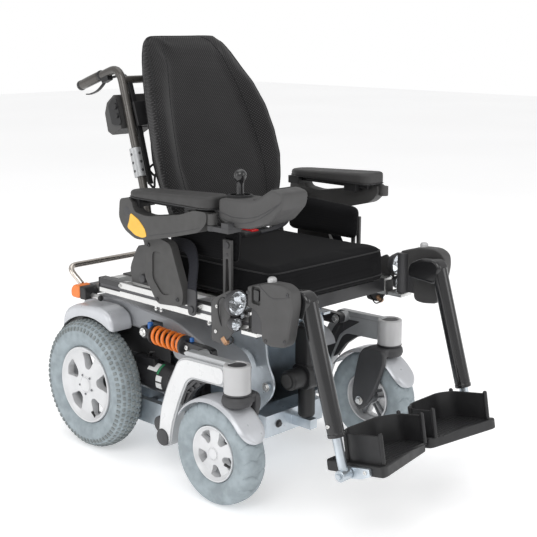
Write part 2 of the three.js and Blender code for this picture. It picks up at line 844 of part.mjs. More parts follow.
function backSection([z, front, rear, crest, middle]) {
  const half = [
    [rear - 8, BACK_REAR],
    [rear, BACK_REAR - 7],
    [(rear + front) / 2, (BACK_REAR - 7 + crest + 14) / 2],
    [front, crest + 14],
    [front - 8, crest + 3],
    [front - 24, crest],
    [front - 48, (crest + middle) / 2],
    [front - 72, middle],
  ];
  const other = half.map(([x, y]) => [-x, y]).reverse();
  return [...half, ...other].map(([x, y]) => [x, y, z]);
}

// A closed skin through sections of equal length, with a flat end at the bottom and at the top.
function loft(sections) {
  const count = sections[0].length;
  const middle = (points) => [0, 1, 2].map((k) => points.reduce((sum, p) => sum + p[k], 0) / count);
  const positions = [...sections.flat(), middle(sections[0]), middle(sections.at(-1))];
  const index = [];
  for (let level = 0; level < sections.length - 1; level++) {
    for (let i = 0; i < count; i++) {
      const next = (i + 1) % count;
      const [a, b] = [level * count + i, level * count + next];
      index.push(a, a + count, b, b, a + count, b + count);
    }
  }
  const top = (sections.length - 1) * count;
  for (let i = 0; i < count; i++) {
    const next = (i + 1) % count;
    index.push(positions.length - 2, i, next);
    index.push(positions.length - 1, top + next, top + i);
  }
  const geometry = new THREE.BufferGeometry();
  geometry.setAttribute("position", new THREE.Float32BufferAttribute(positions.flat(), 3));
  geometry.setIndex(index);
  return solidOf(geometry);
}

function back() {
  const mounts = [-1, 1].map((s) =>
    box([s < 0 ? -198 : 150, -50, 388], [s < 0 ? -150 : 198, -41.5, 452]),
  );
  const shell = join(plate("y", backOutline(32), -54, -46), ...mounts);
  const hooks = [-1, 1].map((s) => box([s * 162 - 12, -46, 400], [s * 162 + 12, -20, 440]));
  add("back_shell", leaned(join(shell, ...hooks)), MATERIAL.blackPlastic);
  add("back_cushion", leaned(loft(BACK_SECTIONS.map(backSection))), MATERIAL.mesh);
}

// The drive electronics' module hangs behind the back, off the user's right.
function controlModule() {
  const outline = rounded(
    [
      [-12, 396],
      [26, 384],
      [48, 402],
      [46, 442],
      [22, 478],
      [-12, 482],
    ],
    8,
  );
  const body = plate("x", outline, -226, -120);
  add("control_module", leaned(body), MATERIAL.greyPlastic);
}

// ---------------------------------------------------------------- armrests
function armrests() {
  const postOutline = rounded(
    [
      [-226, 672],
      [-216, 640],
      [-254, 610],
      [-252, 520],
      [-300, 458],
      [-392, 466],
      [-398, 500],
      [-352, 618],
      [-290, 630],
      [-270, 680],
    ],
    12,
  );
  const post = join(
    plate("x", postOutline, -292, -269),
    rod([-291, -248, 654], [-302, -248, 654], 9),
  );
  addPair("armrest_post", post, MATERIAL.greyPlastic);

  const armOutline = rounded(
    [
      [-204, 719],
      [-198, 668],
      [-220, 640],
      [-262, 622],
      [-306, 625],
      [-400, 645],
      [-495, 669],
      [-522, 694],
      [-522, 719],
      [-478, 719],
      [-430, 703],
      [-308, 684],
      [-258, 690],
      [-250, 719],
    ],
    10,
  );
  const pivotBore = rod([-303, -248, 654], [-290, -248, 654], 9.8);
  const arm = cut(plate("x", armOutline, -327, -293.5), pivotBore);
  const controllerBore = rod([-313, -528, 680], [-313, -528, 722], 5.6);
  const controllerBoss = rod([-313, -528, 690], [-313, -528, 716], 12);
  const bossLink = box([-320, -528, 692], [-306, -508, 714]);
  addPair(
    "armrest_arm",
    cut(join(arm, controllerBoss, bossLink), controllerBore),
    MATERIAL.greyPlastic,
  );

  const { outer, inner, frontY, rearY, low, high } = PAD;
  const padOutline = rounded(
    [
      [outer, rearY - 30],
      [outer, frontY + 20],
      [outer + 14, frontY],
      [inner - 14, frontY],
      [inner, frontY + 20],
      [inner, rearY - 40],
      [inner - 24, rearY],
      [outer + 18, rearY],
    ],
    16,
  );
  const slope = new THREE.Shape([
    [frontY - 20, high + 1],
    [rearY + 20, high - 15],
    [rearY + 20, high + 20],
    [frontY - 20, high + 20],
  ].map(([y, z]) => new THREE.Vector2(y, z)));
  const above = plate("x", slope, outer - 5, inner + 5);
  addPair("armrest_pad", cut(plate("z", padOutline, low, high, 6), above), MATERIAL.padFoam);
}

function sidePads() {
  const outline = rounded([[-272, 583], [-516, 583], [-520, 668], [-276, 680]], 16);
  addPair("side_pad", plate("x", outline, -230, -203, 8), MATERIAL.fabric);
}

// ---------------------------------------------------------------- joystick
function joystick() {
  const { x, rearY, top, stickY } = POD;
  const outline = rounded(
    [
      [rearY, 702],
      [rearY, top - 4],
      [-556, top],
      [-640, top + 2],
      [-664, top + 10],
      [-706, top + 36],
      [-742, top + 28],
      [-738, 750],
      [-700, 712],
      [-640, 692],
      [-580, 688],
    ],
    10,
  );
  const well = turned("z", [x, stickY, 0], [
    [0, 712],
    [25, 712],
    [25, top + 6],
    [0, top + 6],
  ]);
  const swingArm = join(
    rod([-313, -528, 676], [-313, -528, 689], 12),
    rod([-313, -528, 680], [-313, -528, 712], 5),
    box([-322, -590, 677], [-304, -528, 688]),
    box([-322, -590, 677], [-280, -566, 700]),
  );
  const body = plate("x", outline, x - 42, x + 42);
  add("joystick_pod", cut(join(body, swingArm), well), MATERIAL.blackPlastic);

  const ring = turned("z", [x, stickY, 0], [
    [8.6, 735],
    [14, 735],
    [14, 741],
    [8.6, 741],
    [8.6, 735],
  ]);
  const trunnions = rod([x - 22, stickY, 738], [x - 12, stickY, 738], 2.4, 10);
  const others = rod([x + 12, stickY, 738], [x + 22, stickY, 738], 2.4, 10);
  add("joystick_gimbal", join(ring, trunnions, others), MATERIAL.aluminium);

  const stick = turned(
    "z",
    [x, stickY, 0],
    [
      [0, 730],
      [5, 731],
      [7.6, 736],
      [7.6, 740],
      [4, 745],
      [4, 782],
      [9, 786],
      [11.5, 795],
      [12.5, 806],
      [9, 813],
      [0, 815],
    ],
    12,
  );
  add("joystick_stick", stick, MATERIAL.blackPlastic);
}

// ---------------------------------------------------------------- legrests
function legrests() {
  const { x, y, kneeY, kneeZ, tubeX, tube, rod: rodRadius } = HANGER;
  const housingOutline = rounded(
    [
      [-616, 556],
      [-616, 512],
      [-650, 506],
      [-668, 486],
      [-672, 434],
      [-700, 430],
      [-742, 436],
      [-752, 452],
      [-768, 540],
      [-764, 568],
      [-740, 580],
      [-690, 578],
    ],
    14,
  );
  const knuckle = rod([x, y, 450], [x, y, 556], 17, 14);
  const knucklePlate = box([-294, -700, 452], [-268, -636, 510]);
  const pinBore = rod([x, y, 440], [x, y, 504], 8.6);
  const buttonBore = rod([-282, -690, 566], [-282, -690, 600], 11.2);
  const kneePin = rod([-268, kneeY, kneeZ], [-250, kneeY, kneeZ], 9);
  const frameRoom = join(
    box([-300, -628, 430], [-240, -590, 600]),
    box([-310, -660, 430], [-240, -600, 449.6]),
  );
  const housing = cut(
    join(plate("x", housingOutline, -298, -266.5), knuckle, knucklePlate),
    frameRoom,
    pinBore,
    buttonBore,
  );
  addPair("legrest_housing", join(housing, kneePin), MATERIAL.greyPlastic);
  const button = turned("z", [-282, -690, 0], [
    [0, 571],
    [10.6, 571],
    [10.6, 584],
    [7, 588],
    [0, 589],
  ]);
  addPair("release_button", button, MATERIAL.aluminium);

  const top = [tubeX, TUBE_TOP.y, TUBE_TOP.z];
  const end = [tubeX, TUBE_END.y, TUBE_END.z];
  const along = (distance) => {
    const whole = Math.hypot(TUBE_END.y - TUBE_TOP.y, TUBE_END.z - TUBE_TOP.z);
    const share = distance / whole;
    const lerp = (a, b) => a + (b - a) * share;
    return [tubeX, lerp(TUBE_TOP.y, TUBE_END.y), lerp(TUBE_TOP.z, TUBE_END.z)];
  };
  const kneeOutline = rounded(
    [
      [kneeY + 20, kneeZ - 16],
      [kneeY + 20, kneeZ + 18],
      [kneeY - 20, kneeZ + 40],
      [kneeY - 66, kneeZ + 42],
      [kneeY - 84, kneeZ + 24],
      [kneeY - 74, kneeZ - 24],
    ],
    16,
  );
  const knee = plate("x", kneeOutline, -264.5, -224);
  const legTube = cut(
    join(knee, rod(top, end, tube, 16)),
    rod(along(60), along(330), rodRadius + GAP + 0.5),
    rod([-270, kneeY, kneeZ], [-249, kneeY, kneeZ], 9.8),
  );
  addPair("legrest_tube", legTube, MATERIAL.blackMetal);

  const pivot = [tubeX, FOOT.y, FOOT.z];
  const footRod = join(
    rod(along(170), [tubeX, FOOT.y + 0.5, FOOT.z], rodRadius, 16),
    rod([tubeX - 18, FOOT.y, FOOT.z], [tubeX + 14, FOOT.y, FOOT.z], 13.5, 16),
    rod([pivot[0] + 13, FOOT.y, FOOT.z], [-212, FOOT.y, FOOT.z], 6, 12),
  );
  addPair("legrest_rod", footRod, MATERIAL.zinc);
}

// The footplate is drawn level around its pivot, then pitched up at the toe.
function footplates() {
  const [low, deck, rimTop] = [-6, 20, 84];
  const plateOutline = rounded(
    [
      [-221, 78],
      [-221, -92],
      [-206, -94],
      [-8, -52],
      [-6, 20],
      [-40, 52],
      [-150, 78],
    ],
    10,
  );
  const deckPlate = plate("z", plateOutline, low, deck);
  const wallPath = (offset) => [
    [-204 - offset, -82],
    [-205 - offset, 16 + offset / 2],
    [-178 - offset / 2, 46 + offset],
    [-66 + offset / 2, 44 + offset],
    [-24 + offset, 12 + offset / 2],
    [-20 + offset, -58],
  ];
  const wallOutline = rounded([...wallPath(0), ...wallPath(-5).reverse()], 2.2);
  const wall = plate("z", wallOutline, deck - 2, rimTop, 0);
  const posts = [[-201.5, -82], [-22.5, -58]].map(([x, y]) =>
    rod([x, y, deck - 2], [x, y, rimTop + 2], 5, 12),
  );
  const bracketOutline = rounded([[16, -14], [-34, -12], [-60, -4], [-60, 14], [-34, 14], [16, 13]], 6);
  const bracket = plate("x", bracketOutline, -229, -219);
  const bore = rod([-232, 0, 0], [-206, 0, 0], 6.8, 12);
  const body = cut(join(deckPlate, wall, ...posts, bracket), bore);
  addPair("footplate", placed(body, FOOT.y, FOOT.z, -FOOT.pitch), MATERIAL.blackPlastic);
}

// ---------------------------------------------------------------- lamps
function headlamps() {
  const lamp = (x, z, radius, back, front) =>
    turned("y", [x, 0, z], [
      [0, front],
      [0.7 * radius, front + 2],
      [radius, front + 8],
      [radius, front + 14],
      [0.75 * radius, back],
      [0, back],
    ]);
  const outline = rounded(
    [
      [-498, 404],
      [-500, 506],
      [-566, 540],
      [-580, 500],
      [-574, 440],
      [-540, 402],
    ],
    10,
  );
  const bracket = plate("x", outline, -292, -286);
  const spacer = box([-290, -560, 462], [-268.5, -520, 476]);
  const parts = [
    lamp(-300, 514, 31, -574, -602),
    lamp(-302, 464, 17, -576, -600),
    box([-306, -578, 452], [-288, -560, 530]),
    lamp(-276, 478, 8, -560, -592),
    box([-288, -572, 470], [-270, -556, 484]),
    rod([-289, -536, 418], [-289, -550, 405], 8, 12),
  ];
  addPair("headlamp", join(bracket, spacer, ...parts), MATERIAL.lamp);
}

// ---------------------------------------------------------------- the whole chair
driveWheels();
casterWheels();
casterArm();
shock();
casterFork();
chassis();
batteries();
baseCover();
fenders();
driveMotors();
seatTower();
tiltActuator();
seatFrame();
rearBeam();
guardBar();
seatCushion();
lapBelt();
backFrame();
back();
controlModule();
armrests();
sidePads();
joystick();
legrests();
footplates();
headlamps();

export default chair;
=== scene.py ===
import json
import math

import bmesh
import bpy
import numpy as np
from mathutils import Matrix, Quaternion, Vector
from mathutils.bvhtree import BVHTree

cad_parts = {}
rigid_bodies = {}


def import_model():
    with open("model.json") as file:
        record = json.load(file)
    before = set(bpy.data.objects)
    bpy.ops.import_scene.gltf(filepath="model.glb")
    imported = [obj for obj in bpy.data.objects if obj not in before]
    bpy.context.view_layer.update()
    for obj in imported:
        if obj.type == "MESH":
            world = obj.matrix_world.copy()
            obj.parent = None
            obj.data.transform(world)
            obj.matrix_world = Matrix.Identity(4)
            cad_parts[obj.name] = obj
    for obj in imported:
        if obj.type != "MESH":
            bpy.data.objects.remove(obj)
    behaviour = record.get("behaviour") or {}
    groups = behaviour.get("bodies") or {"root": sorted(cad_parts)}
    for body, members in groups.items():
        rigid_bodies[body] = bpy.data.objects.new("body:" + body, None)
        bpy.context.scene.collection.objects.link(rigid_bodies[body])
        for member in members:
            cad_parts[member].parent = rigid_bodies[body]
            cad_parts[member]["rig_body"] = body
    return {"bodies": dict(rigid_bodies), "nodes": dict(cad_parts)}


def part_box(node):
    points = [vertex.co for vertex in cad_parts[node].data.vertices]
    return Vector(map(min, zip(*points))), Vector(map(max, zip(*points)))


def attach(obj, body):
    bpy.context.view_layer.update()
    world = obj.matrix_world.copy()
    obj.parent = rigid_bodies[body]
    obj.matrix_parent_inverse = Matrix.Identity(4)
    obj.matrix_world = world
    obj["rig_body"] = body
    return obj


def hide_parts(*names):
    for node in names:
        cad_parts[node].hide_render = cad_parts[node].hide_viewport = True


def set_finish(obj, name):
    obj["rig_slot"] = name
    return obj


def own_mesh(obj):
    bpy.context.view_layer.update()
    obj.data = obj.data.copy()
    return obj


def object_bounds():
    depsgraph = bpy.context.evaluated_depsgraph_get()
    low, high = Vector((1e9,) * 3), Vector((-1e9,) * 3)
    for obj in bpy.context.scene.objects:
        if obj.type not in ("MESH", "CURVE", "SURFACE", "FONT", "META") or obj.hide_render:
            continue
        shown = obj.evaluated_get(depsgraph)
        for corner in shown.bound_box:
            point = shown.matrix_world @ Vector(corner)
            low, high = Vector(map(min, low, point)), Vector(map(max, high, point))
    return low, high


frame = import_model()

# Lengths below are in millimetres from the middle of the drive axle's line on the floor, with +X to
# the user's left and -Y forward. at() turns them into metres in the frame's own axes. Paired parts are
# drawn on the user's right, where x is negative, and pair() mirrors them.
cad_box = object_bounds()
MM = 0.001
wheel_low, wheel_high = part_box("drive_tyre_right")
AXLE_Y = (wheel_low.y + wheel_high.y) / 2
BODIES = frame["bodies"]
SIDES = (("right", False), ("left", True))  # each side, and whether its shape is mirrored


def at(x, y, z):
    return Vector((x * MM, y * MM + AXLE_Y, z * MM))


def from_frame(point):
    """A point of the frame, in metres, as design millimetres."""
    return np.array([point[0] / MM, (point[1] - AXLE_Y) / MM, point[2] / MM])


# ------------------------------------------------------------------ shapes
# Each shape is a list of (vertices, faces) in design millimetres.
def unit(v):
    v = np.array(v, float)
    return v / np.linalg.norm(v)


DIRECTION = {"x": (1.0, 0, 0), "y": (0, 1.0, 0), "z": (0, 0, 1.0)}


def cross_frame(direction):
    w = unit(direction)
    helper = np.array([0, 0, 1.0]) if abs(w[2]) < 0.9 else np.array([0, 1.0, 0])
    u = unit(np.cross(helper, w))
    return u, np.cross(w, u), w


def lathe(axis, centre, profile, n=48):
    """A turned shape: profile holds (radius, distance along the axis)."""
    u, v, w = cross_frame(DIRECTION.get(axis, axis) if isinstance(axis, str) else axis)
    centre = np.array(centre, float)
    closed = profile[0] == profile[-1] and profile[0][0] > 0
    rows = profile[:-1] if closed else profile
    verts, rings = [], []
    for r, a in rows:
        if r < 1e-6:
            rings.append([len(verts)] * n)
            verts.append(centre + a * w)
            continue
        rings.append(list(range(len(verts), len(verts) + n)))
        for i in range(n):
            t = 2 * math.pi * i / n
            verts.append(centre + a * w + r * (math.cos(t) * u + math.sin(t) * v))
    faces = []
    pairs = list(zip(rings, rings[1:])) + ([(rings[-1], rings[0])] if closed else [])
    for a, b in pairs:
        for i in range(n):
            j = (i + 1) % n
            loop = list(dict.fromkeys([a[i], a[j], b[j], b[i]]))
            if len(loop) > 2:
                faces.append(loop)
    return [(np.array(verts), faces)]


def rod(p, q, r, n=24, chamfer=0.8):
    p, q = np.array(p, float), np.array(q, float)
    length = np.linalg.norm(q - p)
    c = min(chamfer, r / 2, length / 2.5)
    profile = [(0, 0), (r - c, 0), (r, c), (r, length - c), (r - c, length), (0, length)]
    return lathe(q - p, p, profile, n)


def dome(p, q, r, n=28, rise=0.4):
    """A round cap whose far end is domed."""
    p, q = np.array(p, float), np.array(q, float)
    length = np.linalg.norm(q - p)
    arc = [(r * math.cos(t), length + rise * r * math.sin(t)) for t in np.linspace(0, math.pi / 2, 7)]
    return lathe(q - p, p, [(0, 0), (r - 0.6, 0), (r, 0.6), *arc[:-1], (0, arc[-1][1])], n)


def rounded(points, radius, n=6):
    """An outline with its corners rounded off."""
    corners = [np.array(p, float) for p in points]
    out = []
    for i, corner in enumerate(corners):
        before, after = corners[i - 1], corners[(i + 1) % len(corners)]
        reach = min(
            radius,
            np.linalg.norm(before - corner) / 2.1,
            np.linalg.norm(after - corner) / 2.1,
        )
        start = corner + reach * unit(before - corner)
        end = corner + reach * unit(after - corner)
        for t in np.linspace(0, 1, n):
            out.append((1 - t) ** 2 * start + 2 * t * (1 - t) * corner + t * t * end)
    return out


def inset(outline, distance):
    """The outline drawn inwards by a distance."""
    pts = [np.array(p, float) for p in outline]
    area = sum(a[0] * b[1] - b[0] * a[1] for a, b in zip(pts, pts[1:] + pts[:1]))
    sign = 1 if area > 0 else -1
    out = []
    for i, p in enumerate(pts):
        d = unit(pts[(i + 1) % len(pts)] - pts[i - 1])
        out.append(p + sign * distance * np.array([-d[1], d[0]]))
    return out


def prism(axis, outline, low, high):
    """A flat plate: the outline is (y, z) across x, (x, z) across y and (x, y) across z."""
    n = len(outline)
    place = {
        "x": lambda u, v, w: (w, u, v),
        "y": lambda u, v, w: (u, w, v),
        "z": lambda u, v, w: (u, v, w),
    }[axis]
    verts = [place(p[0], p[1], low) for p in outline] + [place(p[0], p[1], high) for p in outline]
    faces = [[i, (i + 1) % n, n + (i + 1) % n, n + i] for i in range(n)]
    faces += [list(range(n))[::-1], list(range(n, 2 * n))]
    return [(np.array(verts, float), faces)]


def box(low, high):
    outline = [(low[0], low[1]), (high[0], low[1]), (high[0], high[1]), (low[0], high[1])]
    return prism("z", outline, low[2], high[2])


def bent(route, bend, n=8):
    """A route of straight runs with rounded bends, as points."""
    pts = [np.array(p, float) for p in route]
    out = [pts[0]]
    for i in range(1, len(pts) - 1):
        before, corner, after = pts[i - 1], pts[i], pts[i + 1]
        reach = min(
            bend,
            np.linalg.norm(before - corner) / 2.05,
            np.linalg.norm(after - corner) / 2.05,
        )
        start = corner + reach * unit(before - corner)
        end = corner + reach * unit(after - corner)
        for t in np.linspace(0, 1, n):
            out.append((1 - t) ** 2 * start + 2 * t * (1 - t) * corner + t * t * end)
    out.append(pts[-1])
    return out


def smooth_path(points, n):
    """n points along a Catmull-Rom curve through the given ones."""
    p = [np.array(q, float) for q in points]
    p = [2 * p[0] - p[1], *p, 2 * p[-1] - p[-2]]
    out = []
    for s in np.linspace(0, len(p) - 3 - 1e-9, n):
        i, t = int(s), s - int(s)
        a, b, c, d = p[i : i + 4]
        out.append(
            0.5 * (
                2 * b
                + (c - a) * t
                + (2 * a - 5 * b + 4 * c - d) * t**2
                + (3 * b - a - 3 * c + d) * t**3
            )
        )
    return out


def both_ways(half):
    """Points on one side of the chair, then the same ones mirrored, in order."""
    return half + [(-x, y, z) for x, y, z in reversed(half)]


def circle(radius, n=16):
    return [
        (radius * math.cos(2 * math.pi * i / n), radius * math.sin(2 * math.pi * i / n))
        for i in range(n)
    ]


def sweep(points, section, up=None, closed=False):
    """A bar of the given section along points; up fixes the section's second axis, if given."""
    pts = [np.array(p, float) for p in points]
    count, m = len(pts), len(section)
    verts, side = [], None
    for i, p in enumerate(pts):
        before = pts[i - 1] if closed or i else pts[0]
        after = pts[(i + 1) % count] if closed or i < count - 1 else pts[-1]
        t = unit(after - before)
        if up is not None:
            side = unit(np.cross(t, np.array(up[i] if np.ndim(up) > 1 else up, float)))
        elif side is None:
            side = cross_frame(t)[0]
        else:
            side = unit(side - t * np.dot(side, t))
        over = np.cross(side, t)
        verts += [p + a * side + b * over for a, b in section]
    faces = []
    for i in range(count if closed else count - 1):
        j = (i + 1) % count
        for k in range(m):
            l = (k + 1) % m
            faces.append([i * m + k, i * m + l, j * m + l, j * m + k])
    if not closed:
        faces += [list(range(m))[::-1], list(range((count - 1) * m, count * m))]
    return [(np.array(verts), faces)]


def tube(route, radius, bend=0, n=16):
    return sweep(bent(route, bend) if bend else route, circle(radius, n))


def hex_head(p, direction, across, height):
    """A hexagonal bolt head with a washer under it."""
    w = unit(direction)
    p = np.array(p, float)
    washer = rod(p, p + 1.2 * w, across * 0.72, 24, 0.3)
    head = lathe(
        w, p + 1.2 * w,
        [
            (0, 0), (across / 2, 0), (across / 2, height - 0.8), (across / 2 - 1, height),
            (0, height),
        ],
        6,
    )
    return washer + head


def socket_head(p, direction, radius, height):
    """A round screw head with a driving recess."""
    w = unit(direction)
    r = radius
    profile = [
        (0, 0), (r, 0), (r, height * 0.6), (r * 0.85, height), (r * 0.5, height),
        (r * 0.45, height * 0.4), (0, height * 0.4),
    ]
    return lathe(w, np.array(p, float), profile, 20)


# ------------------------------------------------------------------ pieces
def mesh_of(name, shapes, mirror=False):
    bm = bmesh.new()
    for verts, faces in shapes:
        made = [bm.verts.new(at(-v[0] if mirror else v[0], v[1], v[2])) for v in verts]
        for f in faces:
            bm.faces.new([made[i] for i in f])
    bmesh.ops.recalc_face_normals(bm, faces=bm.faces)
    mesh = bpy.data.meshes.new(name)
    bm.to_mesh(mesh)
    bm.free()
    return mesh


def crisp(obj, bevel, segments=2, angle=35):
    """Smooth shading with small rounded edges wherever two faces meet sharply."""
    obj.data.shade_smooth()
    if bevel:
        m = obj.modifiers.new("edges", "BEVEL")
        m.width = bevel * MM
        m.segments = segments
        m.limit_method = "ANGLE"
        m.angle_limit = math.radians(angle)
        m.use_clamp_overlap = True
        w = obj.modifiers.new("normals", "WEIGHTED_NORMAL")
        w.keep_sharp = True
        w.weight = 80
    else:
        obj.data.set_sharp_from_angle(angle=math.radians(angle))


def link(name, mesh, material, slot, body, replaces=()):
    obj = bpy.data.objects.new(name, mesh)
    bpy.context.scene.collection.objects.link(obj)
    mesh.materials.clear()
    mesh.materials.append(material)
    if body:
        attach(obj, body)
    if replaces:
        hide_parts(*replaces)
    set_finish(obj, slot)
    return obj


def make(name, shapes, look, body, bevel=0.8, segments=2, angle=35, replaces=(), mirror=False):
    material, slot = LOOK[look]
    obj = link(name, mesh_of(name, shapes, mirror), material, slot, body, replaces)
    crisp(obj, bevel, segments, angle)
    return obj


def pair(name, shapes, look, body, replaces=(), **options):
    """The same piece on the user's right, as drawn, and mirrored on the left."""
    made = []
    for side, mirror in SIDES:
        own_body = f"{body}_{side}" if f"{body}_{side}" in BODIES else body
        nodes = [f"{n}_{side}" for n in replaces]
        made.append(
            make(f"{name}_{side}", shapes, look, own_body, replaces=nodes, mirror=mirror, **options)
        )
    return made


def lead(name, route, radius, body, mirror=False):
    """A lead along this route, both ends on the chair."""
    obj = make(name, tube(route, radius, n=12), "plastic", body, bevel=0, mirror=mirror)


def lead_pair(name, route, radius, body):
    for side, mirror in SIDES:
        lead(f"{name}_{side}", route, radius, body, mirror)


def dressed(node, look, bevel=1.0, segments=2, finish=True):
    """A CAD node's own shape with rounded edges."""
    source = frame["nodes"][node]
    bm = bmesh.new()
    bm.from_mesh(source.data)
    bmesh.ops.remove_doubles(bm, verts=bm.verts, dist=1e-5)
    flat = math.radians(1.5)
    bmesh.ops.dissolve_limit(bm, angle_limit=flat, verts=bm.verts, edges=bm.edges)
    mesh = bpy.data.meshes.new(node + "_finished")
    bm.to_mesh(mesh)
    bm.free()
    material, slot = LOOK[look]
    obj = link(node + "_finished", mesh, material, slot, source["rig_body"], [node])
    if finish:
        crisp(obj, bevel, segments, 40)
    return obj


# ------------------------------------------------------------------ materials
class Graph:
    """A small helper that adds nodes to one material."""

    def __init__(self, name):
        self.material = bpy.data.materials.new(name)
        self.material.use_nodes = True
        self.tree = self.material.node_tree
        self.shader = self.tree.nodes["Principled BSDF"]
        self.place = self.node("ShaderNodeTexCoord").outputs["Object"]

    def node(self, kind, **settings):
        made = self.tree.nodes.new(kind)
        for key, value in settings.items():
            setattr(made, key, value)
        return made

    def link(self, a, b):
        self.tree.links.new(a, b)

    def math(self, operation, a, b=0.0):
        n = self.node("ShaderNodeMath", operation=operation)
        for socket, value in zip(n.inputs, (a, b)):
            if isinstance(value, (int, float)):
                socket.default_value = value
            else:
                self.link(value, socket)
        return n.outputs[0]

    def noise(self, scale, detail=3.0, stretch=None):
        n = self.node("ShaderNodeTexNoise")
        n.inputs["Scale"].default_value = scale
        n.inputs["Detail"].default_value = detail
        place = self.place
        if stretch:
            m = self.node("ShaderNodeMapping")
            m.inputs["Scale"].default_value = stretch
            self.link(self.place, m.inputs["Vector"])
            place = m.outputs["Vector"]
        self.link(place, n.inputs["Vector"])
        return n.outputs["Fac"]

    def ramp(self, fac, low, high, a=0.35, b=0.65):
        r = self.node("ShaderNodeValToRGB")
        r.color_ramp.elements[0].position = a
        r.color_ramp.elements[0].color = (*low, 1)
        r.color_ramp.elements[1].position = b
        r.color_ramp.elements[1].color = (*high, 1)
        self.link(fac, r.inputs["Fac"])
        return r.outputs["Color"]

    def span(self, fac, low, high, a=0.3, b=0.7):
        m = self.node("ShaderNodeMapRange")
        for i, value in enumerate((a, b, low, high)):
            m.inputs[i + 1].default_value = value
        self.link(fac, m.inputs[0])
        return m.outputs[0]

    def bump(self, height, strength, distance):
        b = self.node("ShaderNodeBump")
        b.inputs["Strength"].default_value = strength
        b.inputs["Distance"].default_value = distance
        self.link(height, b.inputs["Height"])
        previous = self.shader.inputs["Normal"]
        if previous.is_linked:
            self.link(previous.links[0].from_socket, b.inputs["Normal"])
        self.link(b.outputs["Normal"], previous)

    def set(self, **values):
        for key, value in values.items():
            self.shader.inputs[key.replace("_", " ")].default_value = value


def shade(color, factor):
    return tuple(min(1.0, c * factor) for c in color)


def coated(
    name, color, rough, metal=0.0, coat=0.0, grain=900.0, depth=0.00004, vary=0.07, stretch=None
):
    """Paint, plating or moulded plastic: mottled colour, uneven gloss and a fine surface grain."""
    g = Graph(name)
    cloud = g.noise(14.0, 4.0)
    g.link(g.ramp(cloud, shade(color, 1 - vary), shade(color, 1 + vary)), g.shader.inputs["Base Color"])
    g.link(g.span(g.noise(45.0, 5.0), rough * 0.85, rough * 1.18), g.shader.inputs["Roughness"])
    g.set(Metallic=metal)
    if coat:
        g.set(Coat_Weight=coat, Coat_Roughness=0.12)
    g.bump(g.noise(grain, 2.0, stretch), 0.5, depth)
    return g.material


def rubber(name, color, rough):
    g = Graph(name)
    dust = g.ramp(g.noise(35.0, 6.0), shade(color, 0.86), shade(color, 1.12))
    g.link(dust, g.shader.inputs["Base Color"])
    g.link(g.span(g.noise(80.0), rough * 0.9, rough * 1.08), g.shader.inputs["Roughness"])
    g.bump(g.noise(420.0, 3.0), 0.45, 0.00012)
    g.set(Specular_IOR_Level=0.35)
    return g.material


def waves(g, period, direction):
    """A sine across the given direction, from 0 to 1."""
    dot = g.node("ShaderNodeVectorMath", operation="DOT_PRODUCT")
    dot.inputs[1].default_value = tuple(2 * math.pi / period * d for d in unit(direction))
    g.link(g.place, dot.inputs[0])
    wave = g.math("SINE", dot.outputs["Value"])
    return g.math("ADD", g.math("MULTIPLY", wave, 0.5), 0.5)


def woven(name, color, period, a, b, rough=0.92, contrast=0.35, depth=0.0003, sheen=0.25, c=None):
    """Cloth: two or three sets of crossing threads, with a soft sheen."""
    g = Graph(name)
    weave = g.math("MULTIPLY", waves(g, period, a), waves(g, period, b))
    if c is not None:
        weave = g.math(
            "ADD", g.math("MULTIPLY", weave, 0.7), g.math("MULTIPLY", waves(g, period, c), 0.3)
        )
    threads = g.ramp(weave, shade(color, 1 - contrast), shade(color, 1 + contrast), 0.1, 0.8)
    cloud = g.span(g.noise(9.0, 4.0), 0.86, 1.12)
    tint = g.node("ShaderNodeVectorMath", operation="SCALE")
    g.link(threads, tint.inputs[0])
    g.link(cloud, tint.inputs["Scale"])
    g.link(tint.outputs[0], g.shader.inputs["Base Color"])
    g.set(Roughness=rough, Sheen_Weight=sheen, Sheen_Roughness=0.5, Specular_IOR_Level=0.16)
    g.bump(weave, 0.6, depth)
    return g.material


def glass(name):
    g = Graph(name)
    g.set(Base_Color=(0.96, 0.98, 1.0, 1), Roughness=0.03, Transmission_Weight=0.92, IOR=1.45)
    g.bump(g.noise(160.0, 1.0), 0.25, 0.0004)
    return g.material


def lit_plastic(name, color, rough, coat=0.4):
    g = Graph(name)
    g.link(g.ramp(g.noise(30.0), shade(color, 0.93), shade(color, 1.05)), g.shader.inputs["Base Color"])
    g.set(Roughness=rough, Coat_Weight=coat, Coat_Roughness=0.08)
    g.bump(g.noise(600.0), 0.25, 0.00003)
    return g.material


BACK_LEAN = math.radians(18.3)


def diagonal(sign):
    """A thread's direction on the leaning back."""
    return (sign * 1.0, math.sin(BACK_LEAN), math.cos(BACK_LEAN))


